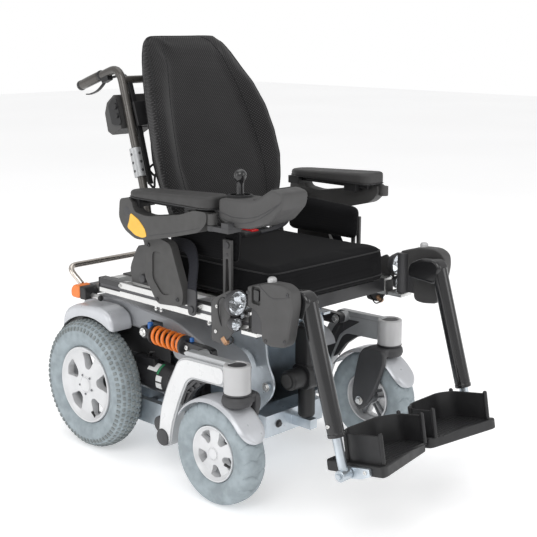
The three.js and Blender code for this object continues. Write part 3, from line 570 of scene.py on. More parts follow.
LOOK = {
    "tyre": (rubber("tyre_rubber", (0.32, 0.368, 0.393), 0.78), "tyre"),
    # The tread rubber is darker than the sidewall: partly dirt, partly painted shade between the knobs.
    "tread": (rubber("tyre_tread_dirt_and_shade", (0.235, 0.258, 0.26), 0.85), "tyre"),
    "rim": (coated("wheel_paint", (0.67, 0.675, 0.685), 0.34, 0.15, 0.25, 700.0), "rim"),
    "rim_dark": (coated("wheel_inside", (0.20, 0.205, 0.215), 0.5, 0.3), "rim"),
    "white": (
        coated("white_powder_coat", (0.74, 0.745, 0.75), 0.3, 0.0, 0.4, 650.0, vary=0.025),
        "white_paint",
    ),
    # The white paint, darkened: painted shade on the steering barrel, also used on the legrest's
    # release button.
    "barrel": (
        coated("white_paint_painted_shade", (0.51, 0.51, 0.515), 0.34, 0.1, 0.25, 650.0, vary=0.03),
        "white_paint",
    ),
    "lip": (coated("silver_casting", (0.47, 0.48, 0.49), 0.38, 0.45, 0.1, 500.0), "silver_paint"),
    "silver": (
        coated("silver_shell", (0.60, 0.615, 0.645), 0.32, 0.25, 0.25, 600.0, vary=0.05),
        "silver_paint",
    ),
    # The fenders' silver, darkened for the base cover: painted shade, the seat's shadow on it.
    "cover": (
        coated("silver_shell_painted_shade", (0.39, 0.40, 0.42), 0.36, 0.25, 0.2, 600.0, vary=0.05), "silver_paint"
    ),
    "black": (coated("black_powder_coat", (0.022, 0.022, 0.024), 0.33, 0.1, 0.2, 800.0), "black_metal"),
    "gloss": (
        coated("black_gloss_tube", (0.017, 0.017, 0.018), 0.2, 0.2, 0.5, 500.0, 0.00002),
        "black_metal",
    ),
    "cast": (
        coated("dark_casting", (0.055, 0.055, 0.058), 0.48, 0.1, 0.0, 420.0, 0.0001), "black_metal"
    ),
    "zinc": (coated("zinc_plate", (0.55, 0.60, 0.645), 0.32, 0.85, 0.0, 500.0, 0.00003, 0.16), "zinc"),
    "aluminium": (
        coated(
            "satin_aluminium", (0.74, 0.74, 0.73), 0.3, 0.95, 0.0, 60.0, 0.00002, 0.04, (1, 40, 40)
        ),
        "aluminium",
    ),
    "graphite": (coated("graphite_rail", (0.10, 0.10, 0.106), 0.42, 0.5, 0.0, 700.0), "aluminium"),
    "nickel": (
        coated("warm_nickel", (0.62, 0.57, 0.52), 0.2, 0.95, 0.0, 300.0, 0.00002, 0.06), "nickel"
    ),
    "bright": (
        coated("bright_screw", (0.70, 0.70, 0.69), 0.22, 0.95, 0.0, 900.0, 0.00002), "aluminium"
    ),
    "plastic": (
        coated("black_moulding", (0.014, 0.014, 0.015), 0.46, 0.0, 0.0, 1100.0, 0.00006),
        "black_plastic",
    ),
    "grey": (
        coated("grey_moulding", (0.062, 0.061, 0.061), 0.5, 0.0, 0.0, 1100.0, 0.00007),
        "grey_plastic",
    ),
    "shell": (
        coated("armrest_moulding", (0.060, 0.059, 0.058), 0.54, 0.0, 0.0, 1100.0, 0.00007),
        "grey_plastic",
    ),
    "orange": (
        coated("orange_powder_coat", (0.83, 0.20, 0.018), 0.36, 0.0, 0.35, 500.0, 0.00003, 0.05),
        "orange_paint",
    ),
    "blue": (lit_plastic("blue_cap", (0.02, 0.13, 0.42), 0.3), "black_plastic"),
    "red": (lit_plastic("red_button", (0.62, 0.012, 0.015), 0.3), "webbing"),
    "yellow": (lit_plastic("amber_reflector", (0.90, 0.50, 0.03), 0.25, 0.7), "grey_plastic"),
    "copper": (coated("bulb_socket", (0.42, 0.25, 0.15), 0.35, 0.8, 0.0, 300.0), "lamp"),
    "label": (lit_plastic("plain_label", (0.75, 0.76, 0.76), 0.45, 0.1), "black_plastic"),
    "green": (lit_plastic("green_band", (0.03, 0.26, 0.11), 0.45, 0.1), "black_plastic"),
    "foam": (
        coated("skin_foam", (0.040, 0.039, 0.039), 0.55, 0.0, 0.0, 700.0, 0.00012, 0.1), "pad_foam"
    ),
    "glove": (
        coated("rubber_gaiter", (0.016, 0.016, 0.017), 0.45, 0.0, 0.0, 500.0, 0.00008),
        "black_plastic",
    ),
    "grip": (
        coated("cane_lacquer", (0.085, 0.079, 0.073), 0.3, 0.45, 0.3, 500.0, 0.00003), "black_metal"
    ),
    "glass": (glass("lamp_glass"), "lamp"),
    "mirror": (coated("reflector", (0.90, 0.91, 0.92), 0.09, 1.0, 0.0, 120.0, 0.0003, 0.02), "lamp"),
    "cloth": (
        woven(
            "seat_cloth", (0.0075, 0.0075, 0.0085), 0.0026, (1, 1, 0.3), (1, -1, 0.3), 0.9, 0.4,
            0.0002, 0.02,
        ),
        "fabric",
    ),
    "mesh": (
        woven(
            "spacer_mesh", (0.033, 0.032, 0.033), 0.0052, diagonal(1), diagonal(-1), 0.9, 0.6,
            0.0006, 0.16,
        ),
        "mesh_fabric",
    ),
    "piping": (
        woven("piping_cloth", (0.012, 0.012, 0.013), 0.0018, (1, 1, 1), (1, -1, 1), 0.85, 0.3, 0.0001),
        "fabric",
    ),
    "webbing": (
        woven(
            "belt_webbing", (0.017, 0.018, 0.026), 0.0022, (0, 1, 0.2), (1, 0, 0.6), 0.85, 0.5,
            0.0004, 0.2,
        ),
        "webbing",
    ),
}


# ------------------------------------------------------------------ driving dimensions
DRIVE = {
    "x": -275, "y": 0, "z": 178, "radius": 178, "half": 38, "rim": 105.5, "rim_half": 30, "hub": 27
}
CASTER = {
    "x": -290, "y": -525, "z": 130, "radius": 130, "half": 37, "rim": 70, "rim_half": 27, "hub": 19
}
STEER = {"x": -287, "y": -581, "low": 292, "high": 362, "radius": 33}
ARM = {"outer": -302, "inner": -272, "pivot": (-327, 116)}
SHOCK = {"x": -240, "rear": (-190, 354), "front": (-437, 346)}
MOTOR = {"x": -186, "z": 218, "radius": 45, "rear": -55, "front": -300}
RAIL = {"outer": -268, "inner": -242, "low": 440, "high": 478, "rear": -30, "front": -600}
BACK = {"y": -200, "z": 500, "lean": BACK_LEAN, "cane": 210, "cane_y": -28}
LEG = {"x": -244, "top": (-764, 545), "end": (-854, 245), "tube": 20, "rod": 11, "knee": (-700, 520)}
FOOT = {"y": -879, "z": 162, "pitch": math.radians(10)}
POD = {"x": -262, "stick_y": -567, "top": 754}
TILT = {"y": 60, "z": 425}
ACTUATOR = {"y": -540, "low": 150, "high": 436, "radius": 20}


def leaned(x, y, z):
    """A point drawn upright around the back's hinge, leaned back with it."""
    c, s = math.cos(BACK["lean"]), math.sin(BACK["lean"])
    return (x, BACK["y"] + y * c + z * s, BACK["z"] + z * c - y * s)


def lean(shapes):
    return [(np.array([leaned(*v) for v in verts]), faces) for verts, faces in shapes]


def pitched(shapes):
    """Footplate shapes, drawn level around the plate's pivot, with the toe raised."""
    c, s = math.cos(FOOT["pitch"]), math.sin(FOOT["pitch"])
    out = []
    for verts, faces in shapes:
        v = np.array(verts, float)
        moved = np.stack(
            [v[:, 0], FOOT["y"] + v[:, 1] * c + v[:, 2] * s, FOOT["z"] - v[:, 1] * s + v[:, 2] * c],
            1,
        )
        out.append((moved, faces))
    return out


# ------------------------------------------------------------------ wheels
def tyre_profile(wheel, crown_drop, n=15):
    """Half a tyre section from bead to crown to bead, as (radius, offset), closed along the bead."""
    radius, half, bead = wheel["radius"] - crown_drop, wheel["half"], wheel["rim"] + 0.6
    side = 0.5 * (radius + bead)
    reach = radius - side
    outer = []
    for t in np.linspace(-0.93, 0.93, 2 * n):
        angle = t * math.pi / 2 + math.copysign(abs(t) ** 3, t) * 0.45
        r = side + reach * math.copysign(abs(math.cos(angle)) ** 0.62, math.cos(angle))
        a = half * math.copysign(abs(math.sin(angle)) ** 0.8, angle)
        outer.append((r, a))
    lip = 0.62 * half
    return [(bead, -lip), (bead + 3, -lip - 4), *outer, (bead + 3, lip + 4), (bead, lip), (bead, -lip)]


def tread_blocks(wheel, rows, count, height):
    """Blocks around the crown: each row is (offset, width, length, phase, tilt, height share)."""
    out = []
    for offset, width, length, phase, tilt, share in rows:
        reach = wheel["radius"] - height
        for k in range(count):
            angle = 2 * math.pi * (k + phase) / count
            radial = np.array([0, math.cos(angle), math.sin(angle)])
            along = np.array([0, -math.sin(angle), math.cos(angle)])
            axial = np.array([1.0, 0, 0])
            lean_angle = math.radians(tilt)
            up = math.cos(lean_angle) * radial + math.sin(lean_angle) * axial
            across = np.cross(along, up)
            surface = reach - (abs(offset) / wheel["half"]) ** 2.6 * (
                0.30 * reach - 0.30 * wheel["rim"]
            )
            base = np.array([wheel["x"] + offset, wheel["y"], wheel["z"]]) + (surface - 3) * radial
            verts = []
            for h, shrink in ((0, 1.0), (3 + height * share, 0.78)):
                for a, b in ((-1, -1), (1, -1), (1, 1), (-1, 1)):
                    skew = 0.22 * length * a * b * (1 if offset > 0 else -1)
                    verts.append(
                        base + h * up + shrink * (
                            a * width / 2 * across + (b * length / 2 + skew * 0.3) * along
                        )
                    )
            faces = [[0, 3, 2, 1], [4, 5, 6, 7], [0, 1, 5, 4], [1, 2, 6, 5], [2, 3, 7, 6], [3, 0, 4, 7]]
            out.append((np.array(verts), faces))
    return out


def drive_tyres():
    centre = (DRIVE["x"], DRIVE["y"], DRIVE["z"])
    pair(
        "drive_tyre_carcass", lathe("x", centre, tyre_profile(DRIVE, 4.5), 120), "tyre",
        "drive_wheel", ["drive_tyre"], bevel=0, angle=50,
    )
    rows = [
        (0, 11, 12, 0.0, 0, 1.0),
        (-13.5, 9.5, 11, 0.5, -8, 1.0),
        (13.5, 9.5, 11, 0.5, 8, 1.0),
        (-25, 9, 11, 0.0, -24, 1.0),
        (25, 9, 11, 0.0, 24, 1.0),
        (-34, 12, 8.5, 0.5, -52, 0.7),
        (34, 12, 8.5, 0.5, 52, 0.7),
    ]
    # The blocks take the darker tread rubber: partly dirt, partly painted shade.
    pair(
        "drive_tyre_blocks", tread_blocks(DRIVE, rows, 66, 4.5), "tread", "drive_wheel", bevel=0.7,
        segments=1,
    )


def caster_tyres():
    """A round section whose crown is cut by curved sipes."""
    n = 420
    profile = tyre_profile(CASTER, 0.0, 22)
    centre = (CASTER["x"], CASTER["y"], CASTER["z"])
    shapes = lathe("x", centre, profile, n)
    verts, faces = shapes[0]
    rel = verts - np.array(centre)
    radius = np.hypot(rel[:, 1], rel[:, 2])
    angle = np.arctan2(rel[:, 2], rel[:, 1])
    x = rel[:, 0] / CASTER["half"]
    count = 20
    for sign in (-1, 1):
        curve = angle * count / (2 * math.pi) + 0.42 * np.sin(2.4 * sign * x + 0.4) + 0.25 * (sign > 0)
        near = np.abs(curve - np.round(curve)) * 2 * math.pi / count * CASTER["radius"]
        on = (sign * x > -0.12) & (sign * x < 0.93) & (radius > 98)
        depth = np.where(on, 2.6 * np.clip(1.6 - near / 1.6, 0, 1), 0)
        scale = (radius - depth) / radius
        rel[:, 1] *= scale
        rel[:, 2] *= scale
    shapes = [(rel + np.array(centre), faces)]
    pair("caster_tyre_sipes", shapes, "tyre", "caster_wheel", ["caster_tyre"], bevel=0, angle=60)


def cut_by(obj, cutters, keep=False):
    """Takes the cutters' shapes out of the piece, or keeps only what lies in them."""
    tool = bpy.data.objects.new("tool", mesh_of("tool", cutters))
    bpy.context.scene.collection.objects.link(tool)
    m = obj.modifiers.new("cut", "BOOLEAN")
    m.operation = "INTERSECT" if keep else "DIFFERENCE"
    m.solver = "EXACT"
    m.use_self = True
    m.object = tool
    bpy.context.view_layer.update()
    mesh = bpy.data.meshes.new_from_object(obj.evaluated_get(bpy.context.evaluated_depsgraph_get()))
    obj.modifiers.clear()
    obj.data = mesh
    bpy.data.objects.remove(tool)
    return obj


def carved(
    name, shapes, look, body, cutters, replaces=(), first=0, bevel=0.8, segments=2, angle=35,
    both=True,
):
    """A rounded piece with cuts taken out of it, on the right and mirrored on the left."""
    right = f"{body}_right" if f"{body}_right" in BODIES else body
    left = f"{body}_left" if f"{body}_left" in BODIES else body
    suffix = "_right" if both else ""
    obj = make(
        name + suffix, shapes, look, right, bevel=first, segments=4,
        replaces=[n + suffix for n in replaces],
    )
    cut_by(obj, cutters)
    made = [obj]
    if both:
        made.append(mirrored_copy(obj, name + "_left", left, [n + "_left" for n in replaces]))
    for piece in made:
        crisp(piece, bevel, segments, angle)
    return made


def mirrored_copy(obj, name, body, replaces=()):
    """The left twin of a finished right-hand piece."""
    mesh = obj.data.copy()
    mesh.transform(((-1, 0, 0, 0), (0, 1, 0, 0), (0, 0, 1, 0), (0, 0, 0, 1)))
    mesh.flip_normals()
    return link(name, mesh, obj.data.materials[0], obj["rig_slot"], body, replaces)


def wheel_windows(wheel, low, high, count=5, start=90.0):
    """Cutters for the windows: trapezoids with rounded corners, widest near the rim."""
    out = []
    cy, cz = wheel["y"], wheel["z"]
    inner, outer = 0.42 * wheel["rim"], 0.84 * wheel["rim"]
    for k in range(count):
        angle = math.radians(start + 360 / count * k)

        def corner(r, t):
            return (cy + r * math.cos(angle + t), cz + r * math.sin(angle + t))

        outline = [corner(inner, -0.22), corner(0.7 * wheel["rim"], -0.29), corner(outer, -0.33)]
        outline += [corner(outer * 1.04, 0), corner(outer, 0.33), corner(0.7 * wheel["rim"], 0.29)]
        outline += [corner(inner, 0.22)]
        out += prism("x", rounded(outline, 0.085 * wheel["rim"], 5), low, high)
    return out


def rims(name, wheel, node, body, start):
    """The dished wheel centre, its barrel, its dark inside and its hub cap."""
    x, y, z, radius, half = wheel["x"], wheel["y"], wheel["z"], wheel["rim"], wheel["rim_half"]
    hub = wheel["hub"]
    face = [
        (0, -0.93 * half),
        (0.55 * hub, -0.93 * half),
        (0.95 * hub, -0.90 * half),
        (1.3 * hub, -0.80 * half),
        (0.62 * radius, -0.66 * half),
        (0.80 * radius, -0.66 * half),
        (0.90 * radius, -0.86 * half),
        (0.955 * radius, -1.04 * half),
        (0.985 * radius, -1.06 * half),
        (radius, -1.0 * half),
        (radius, -0.2 * half),
        (0.90 * radius, -0.1 * half),
        (0.5 * radius, 0.0),
        (0, 0.0),
    ]
    windows = wheel_windows(wheel, x - 1.2 * half, x + 0.3 * half, start=start)
    edge = 1.6 if wheel is DRIVE else 1.1
    disc = lathe("x", (x, y, z), face, 110)
    carved(name + "_centre", disc, "rim", body, windows, [node], bevel=edge, segments=3, angle=32)
    barrel = [
        (radius, -0.2 * half),
        (radius, half),
        (0.955 * radius, 1.06 * half),
        (0.93 * radius, half),
        (0.90 * radius, 0.2 * half),
        (0.90 * radius, -0.1 * half),
        (radius, -0.2 * half),
    ]
    pair(name + "_barrel", lathe("x", (x, y, z), barrel, 96), "rim", body, bevel=0.6)
    ribs = []
    for k in range(5):
        angle = math.radians(start + 36 + 72 * k)
        d = np.array([0, math.cos(angle), math.sin(angle)])
        t = np.array([0, -math.sin(angle), math.cos(angle)])
        centre = np.array([x, y, z], float)
        a, b = centre + 0.30 * radius * d, centre + 0.89 * radius * d
        for shift in (-0.10 * radius, 0.10 * radius):
            ribs += sweep(
                [a + shift * t, b + 1.4 * shift * t],
                [(-1.6, -1), (1.6, -1), (1.6, 0.30 * half), (-1.6, 0.30 * half)], up=(1, 0, 0),
            )
    pair(name + "_ribs", ribs, "rim_dark", body, bevel=0.5)
    cap = lathe(
        "x", (x, y, z),
        [
            (0, -1.02 * half), (0.5 * hub, -1.03 * half), (0.72 * hub, -0.99 * half),
            (0.75 * hub, -0.90 * half), (0, -0.90 * half),
        ],
        48,
    )
    ring = lathe(
        "x", (x, y, z),
        [
            (0.80 * hub, -0.91 * half), (0.84 * hub, -0.96 * half), (0.90 * hub, -0.91 * half),
            (0.80 * hub, -0.91 * half),
        ],
        60,
    )
    pair(name + "_cap", cap + ring, "rim", body, bevel=0.5)
    if wheel is DRIVE:
        screws = []
        for k in range(5):
            angle = math.radians(start + 36 + 72 * k)
            place = (
                x - 0.885 * half, y + 1.02 * hub * math.cos(angle), z + 1.02 * hub * math.sin(angle)
            )
            screws += socket_head(place, (-1, 0, 0), 0.12 * hub, 2.4)
        pair(name + "_screws", screws, "rim_dark", body, bevel=0.2)
    inner = lathe(
        "x", (x, y, z),
        [
            (0, 0.0), (hub, 0.0), (hub, 0.66 * half), (0.82 * hub, 0.7 * half),
            (0.5 * hub, 0.7 * half), (0.5 * hub, 0.4 * half), (0, 0.4 * half),
        ],
        48,
    )
    pair(name + "_hub", inner, "rim_dark", body, bevel=0.8)


def valve(name, wheel, body, angle):
    d = np.array([0, math.cos(angle), math.sin(angle)])
    a = (
        np.array([wheel["x"] - 0.72 * wheel["rim_half"], wheel["y"], wheel["z"]])
        + 0.9 * wheel["rim"] * d
    )
    shapes = (
        rod(a, a + np.array([-5, 0, 0]) - 14 * d, 3, 12)
        + rod(a + np.array([-5, 0, 0]) - 13 * d, a + np.array([-6, 0, 0]) - 20 * d, 3.6, 12)
    )
    pair(name, shapes, "plastic", body, bevel=0.4)


# ------------------------------------------------------------------ suspension
ARM_OUTLINE = [
    (-302, 92), (-316, 190), (-343, 258), (-386, 334), (-414, 347), (-570, 352), (-570, 300),
    (-440, 296), (-420, 282), (-392, 225), (-366, 160), (-352, 92),
]


def caster_arms():
    outer, inner = ARM["outer"], ARM["inner"]
    outline = rounded(ARM_OUTLINE, 24, 8)
    rim = prism("x", outline, outer, inner)
    rim += prism(
        "x", rounded([(-398, 352), (-410, 360), (-566, 363), (-566, 350), (-410, 346)], 8), -296,
        -274,
    )
    pair("caster_arm_casting", rim, "lip", "caster_arm", ["caster_arm"], bevel=3.2, segments=3)
    face = ARM_OUTLINE[:5] + [(-556, 352), (-556, 300)] + ARM_OUTLINE[7:]
    panel = prism("x", inset(rounded(face, 24, 8), 5.5), outer - 3.2, outer + 2)
    pair("caster_arm_panel", panel, "white", "caster_arm", bevel=1.6, segments=3)
    arm_lattice(outer, inner)
    x, y, low, high, r = STEER["x"], STEER["y"], STEER["low"], STEER["high"], STEER["radius"]
    section = [
        (13.4, low), (r - 2, low), (r, low + 2), (r, high - 3), (r - 3, high), (24, high),
        (23, high - 3),
    ]
    section += [(13.4, high - 3), (13.4, low)]
    # The barrel takes the darkened white paint: painted shade.
    pair("steer_barrel", lathe("z", (x, y, 0), section, 72), "barrel", "caster_arm", bevel=0.8)
    cap = lathe(
        "z", (x, y, 0),
        [(0, high - 1.4), (20, high - 1.6), (22.4, high - 2.4), (22.6, high - 4), (0, high - 4)],
        48,
    )
    seal = [
        (r + 0.6, low + 1), (r + 0.8, low - 2), (r - 4, low - 3), (r - 4, low + 0.5),
        (r + 0.6, low + 1),
    ]
    cap += lathe("z", (x, y, 0), seal, 60)
    py, pz = ARM["pivot"]
    button = [
        (0, outer - 8.5), (14, outer - 8.5), (20.5, outer - 7), (22.5, outer - 4),
        (22.5, outer - 1), (0, outer - 1),
    ]
    cap += lathe("x", (0, py, pz), button, 48)
    pair("caster_arm_caps", cap, "cast", "caster_arm", bevel=0.5)
    fy, fz = SHOCK["front"]
    lug = lathe("x", (0, fy, fz), [(0, -290), (13, -290), (15, -286), (15, -253), (0, -253)], 36)
    pair("shock_lug", lug, "lip", "caster_arm", bevel=0.8)
    pin = rod((-254, fy, fz), (-228, fy, fz), 8, 24) + hex_head((-228, fy, fz), (1, 0, 0), 17, 6)
    pair("shock_front_pin", pin, "bright", "caster_arm", bevel=0.4)


def arm_lattice(outer, inner):
    """The black ribbed web in the arm's inner curve, and the ribs on its inner face."""
    web = rounded(
        [(-386, 214), (-404, 262), (-432, 302), (-522, 306), (-470, 290), (-432, 262), (-404, 226)],
        6,
    )
    shapes = prism("x", web, outer + 9, inner - 6)
    edge = [(-392, 218), (-412, 262), (-446, 292), (-516, 303)]
    shapes += sweep(
        [(outer + 5, y, z) for y, z in edge], [(-4, -1.5), (4, -1.5), (4, 1.5), (-4, 1.5)],
        up=(1, 0, 0),
    )
    for (y0, z0), (y1, z1) in (
        ((-392, 250), (-424, 258)), ((-404, 276), (-440, 270)), ((-424, 300), (-462, 286))
    ):
        shapes += sweep([(outer + 6, y0, z0), (outer + 6, y1, z1)], circle(2.4, 8))
    pair("arm_web", shapes, "cast", "caster_arm", bevel=0.6)
    back = [
        (-330, 112), (-344, 200), (-392, 302), (-420, 336), (-490, 339), (-438, 306), (-416, 288),
        (-386, 222), (-350, 112),
    ]
    cover = prism("x", rounded(back, 8), inner - 1, inner + 1.6)
    for (y0, z0), (y1, z1) in (
        ((-346, 150), (-362, 214)), ((-372, 214), (-372, 262)), ((-388, 262), (-418, 318)),
        ((-430, 310), (-430, 334)),
    ):
        cover += sweep([(inner + 2, y0, z0), (inner + 2, y1, z1)], circle(2.6, 8))
    pair("arm_inner_cover", cover, "cast", "caster_arm", bevel=0.5)


def shock_line(distance):
    """The point this far from the damper's rear eye, along its axis."""
    (ry, rz), (fy, fz) = SHOCK["rear"], SHOCK["front"]
    d = unit((fy - ry, fz - rz))
    return np.array([SHOCK["x"], ry + distance * d[0], rz + distance * d[1]])


def shocks():
    x = SHOCK["x"]
    (ry, rz), (fy, fz) = SHOCK["rear"], SHOCK["front"]
    axis = shock_line(1) - shock_line(0)
    eye = lathe(
        "x", (x, ry, rz),
        [(8.6, -11), (16, -11), (17.5, -9), (17.5, 9), (16, 11), (8.6, 11), (8.6, -11)], 40,
    )
    turned = lathe(
        axis, shock_line(0),
        [
            (0, 13), (13, 13), (14, 16), (14, 28), (23, 30), (25, 32), (25, 36), (22, 38),
            (14.5, 39), (14.5, 108), (12.5, 111), (8.4, 111), (8.4, 44), (0, 44),
        ],
        48,
    )
    pair("damper_body", eye + turned, "black", "shock_body", ["shock_body"], bevel=0.5)
    reservoir = dome(shock_line(17) + np.array([0, 0, 12]), shock_line(17) + np.array([0, 0, 27]), 7.5)
    pair("damper_valve", reservoir, "blue", "shock_body", bevel=0.3)
    stem = lathe(axis, shock_line(0), [(0, 84), (7.4, 84), (7.4, 150), (0, 150)], 32)
    pair("damper_stem", stem, "bright", "shock_rod", ["shock_rod"], bevel=0.3)
    seat = lathe(
        axis, shock_line(0),
        [(7.6, 147), (22, 148), (25, 150), (25, 156), (20, 160), (12, 164), (7.6, 164), (7.6, 147)],
        48,
    )
    pair("spring_seat", seat, "black", "shock_rod", bevel=0.4)
    body = rounded(
        [
            (fy + 92, fz - 15), (fy + 10, fz - 15), (fy - 16, fz - 11), (fy - 16, fz + 12),
            (fy + 10, fz + 15), (fy + 92, fz + 16),
        ],
        9,
    )
    hole = lathe("x", (x, fy, fz), [(0, -12), (11, -12), (11, 12), (0, 12)], 32)
    carved(
        "shock_link", prism("x", body, x - 10, x + 10), "black", "shock_rod", hole, bevel=1.6,
        segments=3,
    )
    bolt = (
        socket_head((x - 10, fy + 76, fz + 2), (-1, 0, 0), 7, 4)
        + socket_head((x + 10, fy + 76, fz + 2), (1, 0, 0), 7, 4)
    )
    pair("shock_link_bolt", bolt, "bright", "shock_rod", bevel=0.3)
    screw = dome((x + 2, fy + 70, fz + 16), (x + 2, fy + 70, fz + 25), 6)
    pair("damper_dial", screw, "blue", "shock_rod", bevel=0.3)
    ridge = rod((x - 11.5, fy + 26, fz), (x - 10, fy + 26, fz), 8, 28, 0.5)
    pair("shock_link_boss", ridge, "plastic", "shock_rod", bevel=0.3)
    springs()


def springs():
    start, end, turns, coil, wire = 41.0, 147.0, 5.6, 20.6, 4.6
    u, v, w = cross_frame(shock_line(1) - shock_line(0))
    points = []
    for t in np.linspace(0, 1, 260):
        settle = 0.5 - 0.5 * math.cos(math.pi * t)
        along = start + (end - start) * (0.82 * t + 0.18 * settle)
        angle = 2 * math.pi * turns * t
        points.append(shock_line(along) + coil * (math.cos(angle) * u + math.sin(angle) * v))
    shapes = sweep(points, circle(wire, 14))
    for side, obj in zip(
        ("right", "left"),
        pair("coil_spring", shapes, "orange", "shock_body", ["shock_spring"], bevel=0),
    ):
        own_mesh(obj)


def caster_forks():
    x, y, low = STEER["x"], STEER["y"], STEER["low"]
    inner = CASTER["x"] + CASTER["half"] + 5
    top = low - 4
    crown = lathe(
        "z", (x, y, 0),
        [
            (0, top - 30), (22, top - 31), (35, top - 25), (38, top - 16), (36, top - 6), (30, top),
            (12.5, top), (12.5, low + 52), (0, low + 52),
        ],
        60,
    )
    neck = prism(
        "z",
        rounded(
            [
                (x - 24, y - 28), (inner + 14, y - 20), (inner + 14, y + 42), (x + 2, y + 36),
                (x - 26, y + 14),
            ],
            18, 8,
        ),
        top - 24, top - 1,
    )
    arm = rounded(
        [
            (y - 26, top - 2), (y - 24, top - 44), (y + 4, 168), (
                CASTER["y"] - 26, 124
            ), (CASTER["y"], 100),
            (
                CASTER["y"] + 26, 120
            ), (CASTER["y"] + 28, 152), (y + 74, 212), (y + 62, 262), (y + 44, top - 2),
        ],
        22,
        8,
    )
    leg = prism("x", arm, inner, inner + 17)
    pair("caster_fork_leg", crown, "cast", "caster_fork", ["caster_fork"], bevel=1.2, segments=3)
    pair("caster_fork_arm", neck + leg, "cast", "caster_fork", bevel=5.5, segments=4)
    bolt = hex_head((inner + 17, CASTER["y"], CASTER["z"]), (1, 0, 0), 17, 7)
    bolt += rod((CASTER["x"] - 8, CASTER["y"], CASTER["z"]), (inner + 1, CASTER["y"], CASTER["z"]), 8)
    pair("caster_axle_bolt", bolt, "bright", "caster_fork", bevel=0.4)
    mudguards(inner)


def mudguards(inner):
    """A curved guard over the tyre with rolled edges, narrowing to a rounded tip in front."""
    cy, cz, r = CASTER["y"], CASTER["z"], CASTER["radius"] + 5
    rear, front = math.radians(34), math.radians(157)
    low_x, high_x = CASTER["x"] - 41, inner + 1
    half, middle = (high_x - low_x) / 2, (high_x + low_x) / 2
    spread = np.linspace(-1, 1, 15)
    rings = []
    for t in np.linspace(0, 1, 56):
        angle = rear + (front - rear) * t
        tip = max(0.0, (t - 0.84) / 0.16)
        share = math.sqrt(max(0.0, 1 - 0.93 * tip**2.2))
        lift = 3.0 * tip * (1 - tip) + 1.6 * tip
        top = [
            (half * share * u, lift + 5.5 * (1 - abs(u) ** 5) - 3.5 * (abs(u) > 0.97))
            for u in spread
        ]
        low = [
            ((half * share - 2.6) * u, lift + 2.2 * (1 - abs(u) ** 5) - 3.2 * (abs(u) > 0.97))
            for u in spread[::-1]
        ]
        radial = np.array([0, math.cos(angle), math.sin(angle)])
        rings.append([np.array([middle + a, cy, cz]) + (r + b) * radial for a, b in top + low])
    pair("caster_mudguard", loft(rings), "silver", "caster_fork", bevel=0.8, segments=2, angle=40)


# ------------------------------------------------------------------ base
def chassis():
    for node, look, bevel in (
        ("chassis_frame", "zinc", 0.9), ("seat_tower", "zinc", 0.7),
        ("battery_pack", "plastic", 1.5),
    ):
        dressed(node, look, bevel)
    # The base cover takes the darkened silver: painted shade from the seat above it.
    dressed("base_cover", "cover", 2.2, 3)
    bolts = []
    for x in (-62, 62):
        bolts += hex_head((x, -500, 134), (0, -1, 0), 15, 6)
    for x, y, z in ((-111, -470, 372), (-111, -330, 372), (-111, -470, 190)):
        for s in (1, -1):
            bolts += socket_head((s * x, y, z), (-s, 0, 0), 6.5, 4)
    make("chassis_bolts", bolts, "cast", "base", bevel=0.4)
    liner = prism(
        "x", [(-236, 268), (136, 268), (136, 384), (70, 396), (-60, 396), (-236, 376)], -198.5,
        -195.5,
    )
    pair("base_liner", liner, "plastic", "base", bevel=0.4)
    nuts = hex_head((-117, -508, 247), (-1, 0, 0), 17, 5) + hex_head((117, -508, 247), (1, 0, 0), 17, 5)
    make("tower_nuts", nuts, "bright", "base", bevel=0.3)
    shock_bolt = hex_head((-252, SHOCK["rear"][0], SHOCK["rear"][1]), (-1, 0, 0), 16, 5)
    pair("shock_rear_bolt", shock_bolt, "bright", "base", bevel=0.3)
    stop = lathe(
        "x", (0, -272, 126),
        [(0, -272.5), (17, -272.5), (21.5, -270), (22, -262), (20, -256), (0, -256)], 40,
    )
    pair("bump_stop", stop, "cast", "base", bevel=0.5)


def fenders():
    """A guard over the inner half of the tyre, under a rounded silver bonnet."""
    cz, reach = DRIVE["z"], DRIVE["radius"] + 8.5
    bonnet = rounded([(132, 296), (122, 362), (62, 393), (-48, 398), (-92, 378), (-98, 330)], 30, 10)
    hollow = lathe("x", (0, 0, cz), [(0, -345), (187, -345), (187, -200), (0, -200)], 90)
    inside = prism(
        "x",
        rounded([(112, 250), (104, 356), (54, 386), (-44, 391), (-82, 374), (-86, 250)], 24, 6),
        -279, -200,
    )
    shell = prism("x", bonnet, -284, -207)
    carved("fender_bonnet", shell, "silver", "base", hollow + inside, ["fender"], first=13, bevel=0.8)
    path, ups = [], []
    for t in np.linspace(-0.06 * math.pi, 0.6 * math.pi, 60):
        path.append((0, reach * math.cos(t), cz + reach * math.sin(t)))
        ups.append((0, math.cos(t), math.sin(t)))
    section = [(-276, -2.2), (-207, -2.2), (-207, 2.2), (-276, 2.2), (-278, 0)]
    pair("wheel_liner", sweep(path, section, up=ups), "plastic", "base", bevel=0.8)


